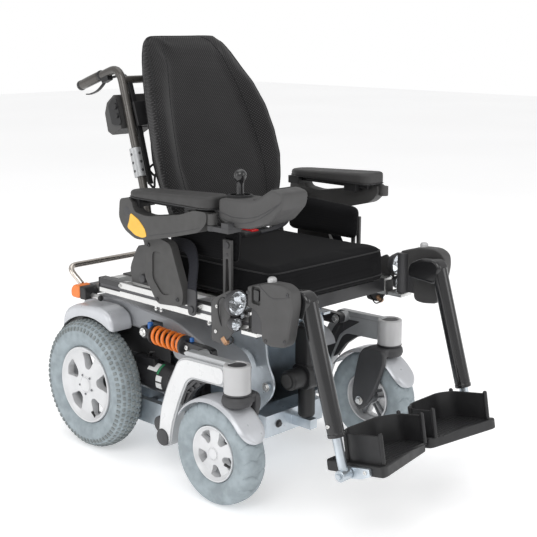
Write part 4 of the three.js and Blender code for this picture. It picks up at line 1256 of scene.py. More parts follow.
def drive_motors():
    x, z, r, rear, front = MOTOR["x"], MOTOR["z"], MOTOR["radius"], MOTOR["rear"], MOTOR["front"]
    can = [
        (0, front - 14), (22, front - 14), (25, front - 12), (27, front - 7), (38, front - 5),
        (r - 2, front + 1),
    ]
    can += [
        (r, front + 5), (r, front + 44), (r - 2, front + 46), (r - 2, rear - 60), (r, rear - 58),
        (r, rear), (0, rear),
    ]
    gearbox = [
        (0, -262), (10, -262), (10, -253), (30, -253), (34, -250), (54, -249), (59, -243),
        (60, -236), (60, -190), (0, -190),
    ]
    shapes = lathe("y", (x, 0, z), can, 72) + lathe("x", (0, 0, DRIVE["z"]), gearbox, 60)
    shapes += box((x - 30, -190, z + 30), (x + 30, -110, z + r + 8))
    pair("motor_housing", shapes, "black", "base", ["drive_motor"], bevel=1.0)
    ribs = []
    for k in range(44):
        a = 2 * math.pi * k / 44
        d = np.array([math.cos(a), 0, math.sin(a)])
        start = np.array([x, front + 8, z]) + (r - 0.4) * d
        ribs += sweep(
            [start, start + np.array([0, 32, 0])], [(-1.5, -1), (1.5, -1), (1.0, 1.6), (-1.0, 1.6)],
            up=d,
        )
    pair("motor_ribs", ribs, "black", "base", bevel=0.3)
    for name, look, arcs in (
        (
            "motor_label", "label",
            ((156, 176, -232, -210), (182, 202, -232, -210), (112, 146, -206, -168)),
        ),
        ("motor_band", "green", ((108, 152, -216, -209),)),
    ):
        label = []
        for low, high, y0, y1 in arcs:
            arc = [(math.radians(t), r - 1.4) for t in np.linspace(low, high, 14)]
            outer = [(x + (rr + 0.5) * math.cos(t), z + (rr + 0.5) * math.sin(t)) for t, rr in arc]
            inner = [
                (x + (rr - 0.9) * math.cos(t), z + (rr - 0.9) * math.sin(t))
                for t, rr in reversed(arc)
            ]
            label += prism("y", outer + inner, y0, y1)
        pair(name, label, look, "base", bevel=0)
    pair(
        "motor_gland", rod((x - 12, -150, z + 50), (x - 12, -151, z + 61), 6.5), "plastic", "base",
        bevel=0.3,
    )
    route = [
        (x - 12, -151, z + 52), (x - 14, -162, z + 66), (x + 18, -200, z + 62),
        (x + 48, -236, z + 74),
    ]
    route += [(x + 66, -240, z + 60)]
    lead_pair("motor_lead", smooth_path(route, 40), 4.2, "base")


def tilt_actuator():
    y, low, high, r = ACTUATOR["y"], ACTUATOR["low"], ACTUATOR["high"], ACTUATOR["radius"]
    body = [
        (0, low), (r - 2, low), (r, low + 2), (r + 2, low + 6), (r + 2, low + 70), (r, low + 74),
        (r, high - 44),
    ]
    body += [
        (r + 1.5, high - 43), (r + 1.5, high - 38), (r - 2, high - 36), (12.6, high - 36),
        (12.6, low + 16), (0, low + 16),
    ]
    motor = lathe(
        "x", (0, y - 4, 262),
        [
            (0, -80), (20, -80), (23, -78), (24.5, -74), (26.5, -72), (27, -68), (27, -30),
            (24, -24), (24, 0), (0, 0),
        ],
        48,
    )
    make(
        "actuator_tube", lathe("z", (0, y, 0), body, 48) + motor, "plastic",
        "tilt_actuator_housing", replaces=["tilt_actuator_housing"], bevel=0.7,
    )
    gear = rounded(
        [
            (y - 38, 244), (y - 24, 230), (y + 14, 230), (y + 24, 242), (y + 24, 284),
            (y + 12, 296), (y - 26, 296), (y - 38, 282),
        ],
        5,
    )
    make(
        "actuator_gear_housing", prism("x", gear, -30, 31), "plastic", "tilt_actuator_housing",
        bevel=3, segments=3,
    )
    case = rounded([(-27, y - 30), (27, y - 30), (27, y + 22), (-27, y + 22)], 12)
    make(
        "actuator_case", prism("z", case, 292, high - 46), "plastic", "tilt_actuator_housing",
        bevel=2.5, segments=3,
    )
    disc = lathe("x", (0, y - 4, 262), [(0, -81.5), (15, -81.5), (18, -80), (0, -79)], 40)
    make("actuator_badge", disc, "grey", "tilt_actuator_housing", bevel=0.3)
    inner = (
        rod((0, y, low + 22), (0, y, high - 12), 12, 40)
        + rod((-12, y, high - 12), (12, y, high - 12), 12, 40)
    )
    make(
        "actuator_piston", inner, "aluminium", "tilt_actuator_rod", replaces=["tilt_actuator_rod"],
        bevel=0.6,
    )


# ------------------------------------------------------------------ seat frame
def seat_frame():
    front, rear = RAIL["front"], -118
    brackets = box((-300, -320, 482), (300, 60, 700)) + box((-300, -560, 482), (-190, -470, 700))
    brackets += box((190, -560, 482), (300, -470, 700))
    tails = box((-300, rear, 452), (-228, 60, 481.9)) + box((228, rear, 452), (300, 60, 481.9))
    cross = box((-235, front - 8, 430), (235, front + 36, 500))
    for name, look, region, keep in (
        ("seat_rails", "aluminium", brackets + tails + cross, False),
        ("seat_brackets", "grey", brackets, True),
        ("seat_tails", "black", tails + cross, True),
    ):
        part = dressed("seat_frame", look, finish=False)
        part.name = name
        cut_by(part, region, keep)
        crisp(part, 0.8, 2, 40)
    outer, low, high = RAIL["outer"], RAIL["low"], RAIL["high"]
    strip = box(
        (outer + 1.4, RAIL["front"] + 1, low + 15.2), (outer + 4.2, RAIL["rear"] - 1, high - 15.2)
    )
    for z in (low, high):
        strip += box((outer + 6, RAIL["front"] + 1, z - 0.4), (outer + 11, RAIL["rear"] - 1, z + 0.4))
    pair("rail_groove_strip", strip, "graphite", "seat", bevel=0.2)
    near, far, base, lid = outer - 0.6, RAIL["inner"] + 0.6, low - 0.6, high + 0.6
    plug = rounded([(near, base), (far, base), (far, lid), (near, lid)], 3)
    caps = prism("y", plug, RAIL["front"] - 3, RAIL["front"])
    caps += prism("y", plug, RAIL["rear"], RAIL["rear"] + 3)
    pair("rail_end_caps", caps, "plastic", "seat", bevel=0.8)
    screws = []
    for y in (-560, -430, -330, -120):
        screws += socket_head((outer - 0.4, y, high - 8), (-1, 0, 0), 4.6, 2.8)
    for y in (-470, -450, -270, -250):
        screws += rod((outer + 13, y, low - 9), (outer + 13, y, low), 4, 16)
        screws += hex_head((outer + 13, y, low - 9), (0, 0, -1), 9, 5)
    pair("rail_screws", screws, "bright", "seat", bevel=0.3)
    hinge = lathe(
        "x", (0, BACK["y"], BACK["z"]),
        [(0, -262), (8, -262), (11, -260), (12, -256), (12, -251), (0, -251)], 36,
    )
    pair("back_hinge_cap", hinge, "cast", "seat", bevel=0.4)
    foot = prism("x", rounded([(-520, 440), (-520, 492), (-476, 492), (-476, 440)], 6), -272.5, -268.3)
    foot += box((-272, -512, 472), (-233, -484, 484))
    pair("strut_clamp", foot, "cast", "seat", bevel=0.8)


def rear_beam():
    y, z = TILT["y"], TILT["z"]
    beam = prism(
        "x", rounded([(y - 14, z - 14), (y + 14, z - 14), (y + 14, z + 14), (y - 14, z + 14)], 4),
        -231, 231,
    )
    for s in (-1, 1):
        beam += rod((s * 225, y, z), (s * 246, y, z), 8)
    make("rear_beam", beam, "black", "seat", replaces=["rear_cross_beam"], bevel=1.2)
    outline = rounded(
        [(y - 20, z - 17), (y + 20, z - 17), (y + 20, z + 8), (y + 4, z + 21), (y - 20, z + 20)],
        13, 8,
    )
    pair("beam_cap_orange", prism("x", outline, -284, -242), "orange", "seat", bevel=4.5, segments=4)
    black = rounded(
        [
            (y - 46, z - 16), (y - 19.5, z - 17.5), (y - 19.5, z + 19.5), (y - 40, z + 18),
            (y - 46, z + 8),
        ],
        6,
    )
    pair("beam_cap_black", prism("x", black, -283, -242), "plastic", "seat", bevel=2.5, segments=3)
    stay = rod((-259, y - 40, z - 6), (-259, y - 80, z - 8), 7, 28, 1)
    pair("beam_stay", stay, "aluminium", "seat", bevel=0.3)
    tip = dome((-259, y - 78, z - 8), (-259, y - 84, z - 8.3), 7.6)
    pair("beam_stay_tip", tip, "plastic", "seat", bevel=0.4)
    foot, top = z + 18, z + 62
    half = [(-258, y + 4, foot), (-272, y + 48, top)]
    make(
        "guard_bar", tube(both_ways(half), 8, 34, 28), "nickel", "seat",
        replaces=["rear_guard_bar"], bevel=0,
    )


def lamps():
    def lamp(x, z, r, back, front):
        shell = [
            (0, back), (0.72 * r, back), (0.8 * r, back - 4), (r, front + 12), (r, front + 5),
            (0.95 * r, front + 3), (0.9 * r, front + 5),
        ]
        bowl = [
            (0.9 * r, front + 5), (0.86 * r, front + 11), (0.7 * r, front + 19),
            (0.4 * r, front + 25), (0.16 * r, front + 26), (0, front + 26),
        ]
        lens = [
            (0, front - 0.5), (0.4 * r, front), (0.75 * r, front + 2.2), (0.91 * r, front + 5),
            (0.9 * r, front + 6.5), (0, front + 3),
        ]
        bulb = dome((x, front + 24, z), (x, front + 15, z), 0.13 * r, 20, 1.0)
        return (
            lathe("y", (x, 0, z), shell, 60),
            lathe("y", (x, 0, z), bowl, 18),
            lathe("y", (x, 0, z), lens, 60),
            bulb,
        )

    big, small, tiny = (
        lamp(-300, 514, 31, -574, -602),
        lamp(-302, 464, 17, -576, -600),
        lamp(-276, 478, 8, -560, -592),
    )
    pair("lamp_shells", big[0] + small[0], "cast", "seat", bevel=0.5)
    pair("lamp_ring", tiny[0], "plastic", "seat", bevel=0.4)
    for group, look, name in (
        (1, "mirror", "lamp_bowls"), (2, "glass", "lamp_lenses"), (3, "mirror", "lamp_bulbs")
    ):
        pair(
            name, big[group] + small[group] + tiny[group], look, "seat", bevel=0,
            angle=20 if group == 1 else 40,
        )
    bracket = rounded(
        [(-498, 404), (-500, 506), (-566, 540), (-580, 500), (-574, 440), (-540, 402)], 10
    )
    shapes = prism("x", bracket, -292, -286) + box((-290, -560, 462), (-268.5, -520, 476))
    shapes += prism("x", rounded([(-578, 452), (-560, 452), (-560, 530), (-578, 530)], 4), -306, -288)
    shapes += box((-288, -572, 470), (-270, -556, 484))
    pair("lamp_bracket", shapes, "grey", "seat", ["headlamp"], bevel=1)
    bolts = (
        socket_head((-292, -515, 430), (-1, 0, 0), 5, 3.4)
        + socket_head((-292, -520, 492), (-1, 0, 0), 5, 3.4)
    )
    pair("lamp_bolts", bolts, "bright", "seat", bevel=0.2)
    socket = (
        rod((-289, -536, 418), (-289, -549, 406), 8, 32)
        + rod((-289, -548, 407), (-289, -551, 404), 5.5, 24)
    )
    pair("lamp_socket", socket, "copper", "seat", bevel=0.5)
    wire = [(-300, -562, 514), (-303, -548, 520), (-300, -530, 500), (-292, -532, 450)]
    wire += [(-280, -560, 418), (-277, -540, 400), (-284, -516, 412), (-280, -500, 438)]
    lead_pair("lamp_wire", smooth_path(wire, 60), 1.7, "seat")


# ------------------------------------------------------------------ upholstery
SOLVE_FRAMES = 20


def inflated(name, shapes, look, body, node, voxel, cap, pinned, pressure=4.0):
    """A stuffed piece: its closed skin is inflated a little by a cloth solve, with moves capped."""
    obj = link(name, mesh_of(name, shapes), *LOOK[look], body, [node])
    m = obj.modifiers.new("soften", "BEVEL")
    m.width, m.segments, m.limit_method = 0.012, 4, "ANGLE"
    m.angle_limit = math.radians(50)
    m = obj.modifiers.new("skin", "REMESH")
    m.mode, m.voxel_size = "VOXEL", voxel * MM * 1
    obj.data = flattened(obj)
    rest = np.empty(len(obj.data.vertices) * 3)
    obj.data.vertices.foreach_get("co", rest)
    rest = rest.reshape(-1, 3)
    held = obj.vertex_groups.new(name="held")
    held.add([i for i, p in enumerate(rest) if pinned(from_frame(p))], 1.0, "REPLACE")
    cloth = obj.modifiers.new("stuffing", "CLOTH")
    s = cloth.settings
    s.quality, s.mass, s.air_damping = 5, 0.25, 4
    s.tension_stiffness = s.compression_stiffness = 18
    s.shear_stiffness, s.bending_stiffness = 8, 1.0
    s.effector_weights.gravity = 0
    s.use_pressure, s.uniform_pressure_force = True, pressure
    s.vertex_group_mass = "held"
    cloth.point_cache.frame_start, cloth.point_cache.frame_end = 1, SOLVE_FRAMES
    for f in range(1, SOLVE_FRAMES + 1):
        bpy.context.scene.frame_set(f)
    moved = np.empty_like(rest).reshape(-1)
    shape = obj.evaluated_get(bpy.context.evaluated_depsgraph_get()).to_mesh()
    shape.vertices.foreach_get("co", moved)
    move = moved.reshape(-1, 3) - rest
    length = np.linalg.norm(move, axis=1, keepdims=True)
    move *= np.minimum(1.0, cap * MM / np.maximum(length, 1e-9))
    obj.modifiers.clear()
    obj.vertex_groups.clear()
    obj.data.vertices.foreach_set("co", (rest + move).reshape(-1))
    bpy.context.scene.frame_set(1)
    m = obj.modifiers.new("relax", "SMOOTH")
    m.iterations, m.factor = 6, 0.5
    obj.modifiers.new("fine", "SUBSURF").levels = 1
    obj.data = flattened(obj)
    obj.data.shade_smooth()
    return obj


def flattened(obj):
    """The piece's mesh with its modifiers applied."""
    bpy.context.view_layer.update()
    mesh = bpy.data.meshes.new_from_object(obj.evaluated_get(bpy.context.evaluated_depsgraph_get()))
    obj.modifiers.clear()
    return mesh


def surface(obj):
    bm = bmesh.new()
    bm.from_mesh(obj.data)
    tree = BVHTree.FromBMesh(bm)
    bm.free()
    return tree


def on_surface(tree, points, lift):
    """Design points moved onto the skin, and the skin's direction there."""
    out = []
    for p in points:
        place, normal, _, _ = tree.find_nearest(at(*p))
        out.append((from_frame(place) + lift * np.array(normal), np.array(normal)))
    return out


def seam(name, obj, points, radius, look, body, lift=0.2, closed=True):
    placed = on_surface(surface(obj), points, lift)
    path = [p for p, _ in placed]
    return make(name, sweep(path, circle(radius, 8), closed=closed), look, body, bevel=0)


def outline_path(points, radius, step, n=8):
    """Points along a closed rounded outline, evenly apart."""
    line = rounded(points, radius, n)
    out = []
    for a, b in zip(line, line[1:] + line[:1]):
        count = max(1, int(np.linalg.norm(b - a) / step))
        out += [a + (b - a) * k / count for k in range(count)]
    return out


def seat_cushion():
    half, front, rear, low, high = 215, -620, -135, 490, 576
    corners = [(-half, front), (half, front), (half, rear), (-half, rear)]
    shapes = prism("z", rounded(corners, 30, 8), low, high)
    cushion = inflated(
        "cushion_cover", shapes, "cloth", "seat", "seat_cushion", 6, 5, lambda p: p[2] < low + 20
    )
    ring = outline_path(
        [
            (-half + 2, front + 2), (half - 2, front + 2), (half - 2, rear - 2),
            (-half + 2, rear - 2),
        ],
        30, 7,
    )
    seam("cushion_piping_top", cushion, [(x, y, high - 6) for x, y in ring], 2.0, "piping", "seat")
    seam("cushion_piping_low", cushion, [(x, y, low + 16) for x, y in ring], 1.8, "piping", "seat")


BACK_SECTIONS = [
    (92, 165, 156, -105, -100), (130, 190, 172, -112, -102), (200, 206, 182, -125, -104),
    (262, 212, 186, -134, -104), (330, 207, 182, -138, -103), (400, 197, 175, -136, -102),
    (470, 180, 166, -125, -100), (520, 164, 158, -112, -97), (570, 150, 146, -98, -92),
    (600, 138, 134, -88, -86), (620, 116, 112, -80, -79),
]


def back_section(z, front, rear, crest, middle):
    """The cushion's outline at one height: a flat middle between two raised bolsters."""
    back = -55
    half = [(rear - 8, back), (rear, back - 7), ((rear + front) / 2, (back - 7 + crest + 14) / 2)]
    half += [(front, crest + 14), (front - 8, crest + 3), (front - 24, crest)]
    half += [(front - 48, (crest + middle) / 2), (front - 72, middle)]
    return both_ways([(x, y, z) for x, y in half])


def loft(sections):
    """A closed skin through sections of equal length."""
    count = len(sections[0])
    verts = np.array([p for ring in sections for p in ring], float)
    faces = []
    for level in range(len(sections) - 1):
        for i in range(count):
            a, b = level * count + i, level * count + (i + 1) % count
            faces.append([a, a + count, b + count, b])
    faces.append(list(range(count)))
    faces.append([(len(sections) - 1) * count + i for i in reversed(range(count))])
    return [(verts, faces)]


def back_cushion():
    sections = [back_section(*row) for row in BACK_SECTIONS]
    c, s = math.cos(BACK["lean"]), math.sin(BACK["lean"])

    def depth(p):
        return (p[1] - BACK["y"]) * c - (p[2] - BACK["z"]) * s

    cushion = inflated(
        "back_cover", lean(loft(sections)), "mesh", "backrest", "back_cushion", 6, 5,
        lambda p: depth(p) > -64,
    )
    front = both_ways([(front - 2, crest + 6, z) for z, front, _, crest, _ in BACK_SECTIONS])
    front = smooth_path([*front, front[0]], 260)[:-1]
    seam("back_piping_front", cushion, [leaned(*p) for p in front], 2.2, "piping", "backrest")
    rear = both_ways([(rear - 1, -62, z) for z, _, rear, _, _ in BACK_SECTIONS])
    rear = smooth_path([*rear, rear[0]], 240)[:-1]
    seam("back_piping_rear", cushion, [leaned(*p) for p in rear], 2.0, "piping", "backrest")
    for s in (-1, 1):
        line = [(s * (front - 56), middle - 6, z) for z, front, _, _, middle in BACK_SECTIONS]
        path = [leaned(*p) for p in smooth_path(line, 90)]
        name = f"back_bolster_seam_{'left' if s > 0 else 'right'}"
        seam(name, cushion, path, 1.3, "piping", "backrest", 0.0, False)


def side_pads():
    corners = [(-272, 583), (-516, 583), (-520, 668), (-276, 680)]
    outline = rounded(corners, 18, 8)
    for side, s in (("right", 1), ("left", -1)):
        shapes = prism("x", outline, min(-230 * s, -204 * s), max(-230 * s, -204 * s))
        pad = inflated(
            "side_pad_cover_" + side, shapes, "cloth", "seat", "side_pad_" + side, 5, 2.5,
            lambda p: abs(p[0]) > 226,
        )
        ring = [(-217 * s, y, z) for y, z in outline_path(corners, 18, 6)]
        seam("side_pad_seam_" + side, pad, ring, 1.5, "piping", "seat")
    strut = (
        rod((-231, -498, 628), (-243, -498, 628), 9, 32)
        + rod((-231, -498, 604), (-241, -498, 604), 5, 24)
    )
    pair("side_pad_knobs", strut, "cast", "seat", bevel=0.6)


def lap_belt():
    half = [
        (-277, -414, 470), (-277, -414, 520), (-262, -404, 572), (-249, -372, 606),
        (-241, -300, 612), (-222, -262, 600), (-178, -258, 586), (-120, -262, 582.5),
        (-60, -262, 582),
    ]
    ups = [
        (-1, 0, 0), (-1, 0, 0), (-1, 0, 0.3), (-0.8, 0, 0.6), (-0.4, 0.1, 1), (-0.3, 0.1, 1),
        (-0.1, 0, 1), (0, 0, 1), (0, 0, 1),
    ]
    points = smooth_path(both_ways(half), 150)
    normals = [unit(u) for u in smooth_path(both_ways(ups), 150)]
    band = [(-16, -0.9), (16, -0.9), (16, 0.9), (-16, 0.9)]
    make(
        "belt_webbing", sweep(points, band, up=normals), "webbing", "seat", replaces=["lap_belt"],
        bevel=0.5,
    )
    edges = []
    for x in (-13.5, 13.5):
        edges += sweep(points, [(x + a, b + 0.9) for a, b in circle(0.7, 6)], up=normals)
    make("belt_stitching", edges, "webbing", "seat", bevel=0)
    anchors, tabs = [], []
    for s in (-1, 1):
        anchors += rod((s * 270, -414, 462), (s * 284, -414, 462), 9)
        low_x, high_x = sorted((s * 274, s * 280))
        tab = rounded([(-424, 446), (-402, 446), (-396, 478), (-397, 512), (-431, 512), (-430, 478)], 8)
        tabs += prism("x", tab, low_x, high_x)
    make("belt_tabs", tabs, "cast", "seat", bevel=1.2)
    make("belt_anchors", anchors, "cast", "seat", bevel=0.6)
    frame_part = prism("z", rounded([(24, -290), (90, -290), (90, -234), (24, -234)], 9), 578, 592)
    make("belt_buckle", frame_part, "plastic", "seat", bevel=3, segments=3)
    top = prism("z", rounded([(30, -285), (52, -285), (52, -239), (30, -239)], 5), 590, 594.5)
    make("belt_buckle_plate", top, "grey", "seat", bevel=1.2)
    button = prism("z", rounded([(56, -284), (84, -284), (84, -240), (56, -240)], 6), 590, 596)
    make("belt_release", button, "red", "seat", bevel=2.2, segments=3)


# ------------------------------------------------------------------ back frame
def back_frame():
    cane, depth = BACK["cane"], BACK["cane_y"]
    tubes, grips, ends, rings, clamps, holes, levers = [], [], [], [], [], [], []
    for s in (-1, 1):
        route = [
            (s * (cane + 17.5), depth, -18), (s * (cane + 16), depth, 90), (s * cane, depth, 215),
            (s * (cane - 10), depth, 550), (s * (cane - 12), 148, 552),
        ]
        tubes += tube(route, 11, 40, 24)
        low_x, high_x = sorted((s * (cane + 7), s * (cane + 28)))
        tubes += prism(
            "x", rounded([(depth - 12, -24), (13, -24), (13, 14), (depth - 12, 14)], 7), low_x,
            high_x,
        )
        tubes += rod((s * (cane + 20), 0, 0), (s * (cane + 39), 0, 0), 7)
        x = s * (cane - 12)
        waist = [(12.6, 66), (13.4, 70), (13.6, 110), (13.2, 140), (12.6, 146)]
        grips += lathe("y", (x, 0, 551.6), [(0, 60), *waist, (0, 146)], 40)
        ends += dome((x, 145, 551.6), (x, 153, 551.6), 13.6)
        rings += lathe(
            "y", (x, 0, 551.4), [(0, 52), (12.6, 52), (14, 54), (14, 60), (12.6, 62), (0, 62)], 36
        )
        levers += sweep(
            smooth_path(
                [
                    (x, 40, 536), (x, 60, 526), (x - s * 2, 90, 519), (x - s * 4, 124, 520),
                    (x - s * 4, 140, 524),
                ],
                24,
            ),
            [(-5, -1.6), (5, -1.6), (5, 1.6), (-5, 1.6)], up=(0, 0, 1),
        )
        levers += prism("x", rounded([(22, 530), (50, 528), (52, 542), (22, 545)], 4), x - 9, x + 9)
        clamps += sweep(
            [(s * (cane + 2), depth, 258), (s * (cane - 0.2), depth, 334)], circle(15.2, 32)
        )
        # Dark discs on each clamp stand for its holes: painted shade inside them.
        for k in range(3):
            holes += rod(
                (s * (cane + 15.0 - k * 0.7), depth, 274 + 22 * k),
                (s * (cane + 17.0 - k * 0.7), depth, 274 + 22 * k), 4.2,
            )
            holes += rod(
                (s * (cane + 1.5 - k * 0.7), depth - 14, 274 + 22 * k),
                (s * (cane + 1.5 - k * 0.7), depth - 15.7, 274 + 22 * k), 4.2,
            )
    bars = (
        rod((-cane + 6, depth, 515), (cane - 6, depth, 515), 10, 32)
        + rod((-cane - 4, depth, 115), (cane + 4, depth, 115), 10, 32)
    )
    make("back_canes", lean(tubes + bars), "grip", "backrest", replaces=["back_frame"], bevel=0.8)
    make("push_grips", lean(grips), "grip", "backrest", bevel=0)
    make("grip_ends", lean(ends), "plastic", "backrest", bevel=0)
    make("grip_rings", lean(rings), "plastic", "backrest", bevel=0.4)
    make("grip_levers", lean(levers), "plastic", "backrest", bevel=0.9)
    make("cane_clamps", lean(clamps), "lip", "backrest", bevel=1.2)
    # The hole discs: painted shade where the clamp holes are.
    make("cane_clamp_hole_shade", lean(holes), "cast", "backrest", bevel=0.3)
    bars = []
    for s in (-1, 1):
        edge = [
            (s * (cane - 22), depth - 4, 236), (s * (cane - 28), depth - 4, 420),
            (s * (cane - 30), depth - 2, 520),
        ]
        bars += sweep(smooth_path(edge, 20), [(-7, -4), (7, -4), (7, 4), (-7, 4)], up=(0, -1, 0))
        bars += tube(
            [
                (s * (cane - 30), depth, 500), (s * (cane - 31), depth + 6, 532),
                (s * (cane - 20), 20, 536),
            ],
            3.4, 16,
        )
    make("cane_bars", lean(bars), "plastic", "backrest", bevel=1.0)
    dressed("back_shell", "plastic", 1.6, 3)


def control_module():
    outline = rounded([(-12, 392), (30, 384), (46, 398), (42, 446), (24, 470), (-12, 482)], 4, 5)
    make(
        "module_case", lean(prism("x", outline, -226, -120)), "grey", "backrest",
        replaces=["control_module"], bevel=4, segments=4,
    )
    plate = prism(
        "x", rounded([(-20, 404), (-8, 400), (18, 410), (18, 460), (-8, 474), (-20, 470)], 5),
        -229.5, -225.5,
    )
    plate += prism("y", rounded([(-205, 410), (-140, 410), (-140, 468), (-205, 468)], 8), 44, 49)
    latch = rod((-236, -14, 450), (-226, -14, 450), 8) + rod((-236, -14, 425), (-226, -14, 425), 6)
    make("module_bracket", lean(plate + latch), "plastic", "backrest", bevel=1.2)
    ports = []
    for k in range(3):
        ports += rod((-174 + 14 * k, 10, 386), (-174 + 14 * k, 8, 376), 5.5)
    make("module_plugs", lean(ports), "cast", "backrest", bevel=0.6)
    for k, (x, dip) in enumerate(((-174, 250), (-160, 232), (-146, 262))):
        route = [(x, 8, 378), (x, 10, 350), (x - 4 * k, 12, dip + 40), (x + 16, 12, dip)]
        route += [(x + 34, 4, dip + 40), (-40 - 12 * k, -30, 300)]
        lead(f"module_lead_{k}", [leaned(*p) for p in smooth_path(route, 50)], 3.1, "backrest")


# ------------------------------------------------------------------ armrests
def armrests():
    post = [
        (-226, 672), (-216, 640), (-254, 610), (-252, 520), (-300, 458), (-392, 466), (-398, 500),
        (-352, 618), (-290, 630), (-270, 680),
    ]
    shapes = prism("x", rounded(post, 14, 8), -292, -269) + rod((-291, -248, 654), (-302, -248, 654), 9)
    window = prism(
        "x", rounded([(-350, 488), (-318, 484), (-282, 520), (-284, 590), (-318, 592)], 12, 6),
        -294, -288.5,
    )
    carved(
        "armrest_post_shell", shapes, "shell", "seat", window, ["armrest_post"], first=2.6,
        bevel=0.7,
    )
    screws = []
    for y, z in ((-376, 482), (-270, 604), (-300, 470)):
        screws += socket_head((-292.4, y, z), (-1, 0, 0), 5.2, 3)
    pair("armrest_post_screws", screws, "cast", "seat", bevel=0.3)

    arm = [(-204, 719), (-198, 668), (-220, 640), (-262, 622), (-306, 625), (-400, 645), (-495, 669)]
    arm += [(-522, 694), (-522, 719), (-478, 719), (-430, 703), (-308, 684), (-258, 690), (-250, 719)]
    bore = rod((-303, -248, 654), (-280, -248, 654), 9.8)
    boss_bore = rod((-313, -528, 670), (-313, -528, 732), 5.6)
    shapes = (
        prism("x", rounded(arm, 14, 8), -327, -293.5)
        + rod((-313, -528, 690), (-313, -528, 716), 12, 32)
        + box((-320, -528, 692), (-306, -508, 714))
    )
    carved(
        "armrest_arm_shell", shapes, "shell", "armrest", bore + boss_bore, ["armrest_arm"],
        first=4.5, bevel=0.5,
    )
    seam_line = smooth_path([(-312, 636), (-352, 645), (-424, 660), (-498, 680)], 60)
    groove = sweep([(-327.1, y, z) for y, z in seam_line], circle(0.7, 6))
    pair("armrest_arm_seam", groove, "cast", "armrest", bevel=0)
    ring = lathe(
        "x", (0, -232, 690), [(0, -327.8), (9, -327.6), (11, -326.8), (11, -325), (0, -325)], 40
    )
    pair("armrest_pivot_ring", ring, "cast", "armrest", bevel=0.3)
    leaf = rounded(
        [
            (-246, 686), (-278, 672), (-300, 652), (-307, 634), (-290, 628.5), (-262, 632),
            (-232, 648), (-240, 664),
        ],
        7, 7,
    )
    pair("side_reflector", prism("x", leaf, -328.6, -326), "yellow", "armrest", bevel=1.0, segments=3)
    rail = box((-312, -470, 700), (-262, -430, 721)) + box((-312, -262, 700), (-262, -222, 721))
    rail += (
        rod((-284, -500, 714), (-284, -236, 714), 6.5, 24)
        + rod((-290, -448, 706), (-318, -448, 706), 8, 28)
    )
    pair("armrest_slide", rail, "plastic", "armrest", bevel=1.2)

    def slanted(y):
        return 740 + (y + 222) * (755 - 740) / (-527 + 222)

    pad = [
        (-327, -252), (-327, -507), (-313, -527), (-261, -527), (-247, -507), (-247, -262),
        (-271, -222), (-309, -222),
    ]
    wedge = [(-190, slanted(-190)), (-190, 790), (-550, 790), (-550, slanted(-550))]
    carved(
        "armrest_cushion",
        prism("z", rounded(pad, 20, 9), 721, 762),
        "foam",
        "armrest",
        prism("x", wedge, -345, -225),
        ["armrest_pad"],
        bevel=9,
        segments=6,
    )
    band = [(x, y, 724.5) for x, y in outline_path(pad, 20, 8, 9)]
    pair(
        "armrest_cushion_seam", sweep(band, circle(1.6, 8), closed=True), "plastic", "armrest",
        bevel=0,
    )


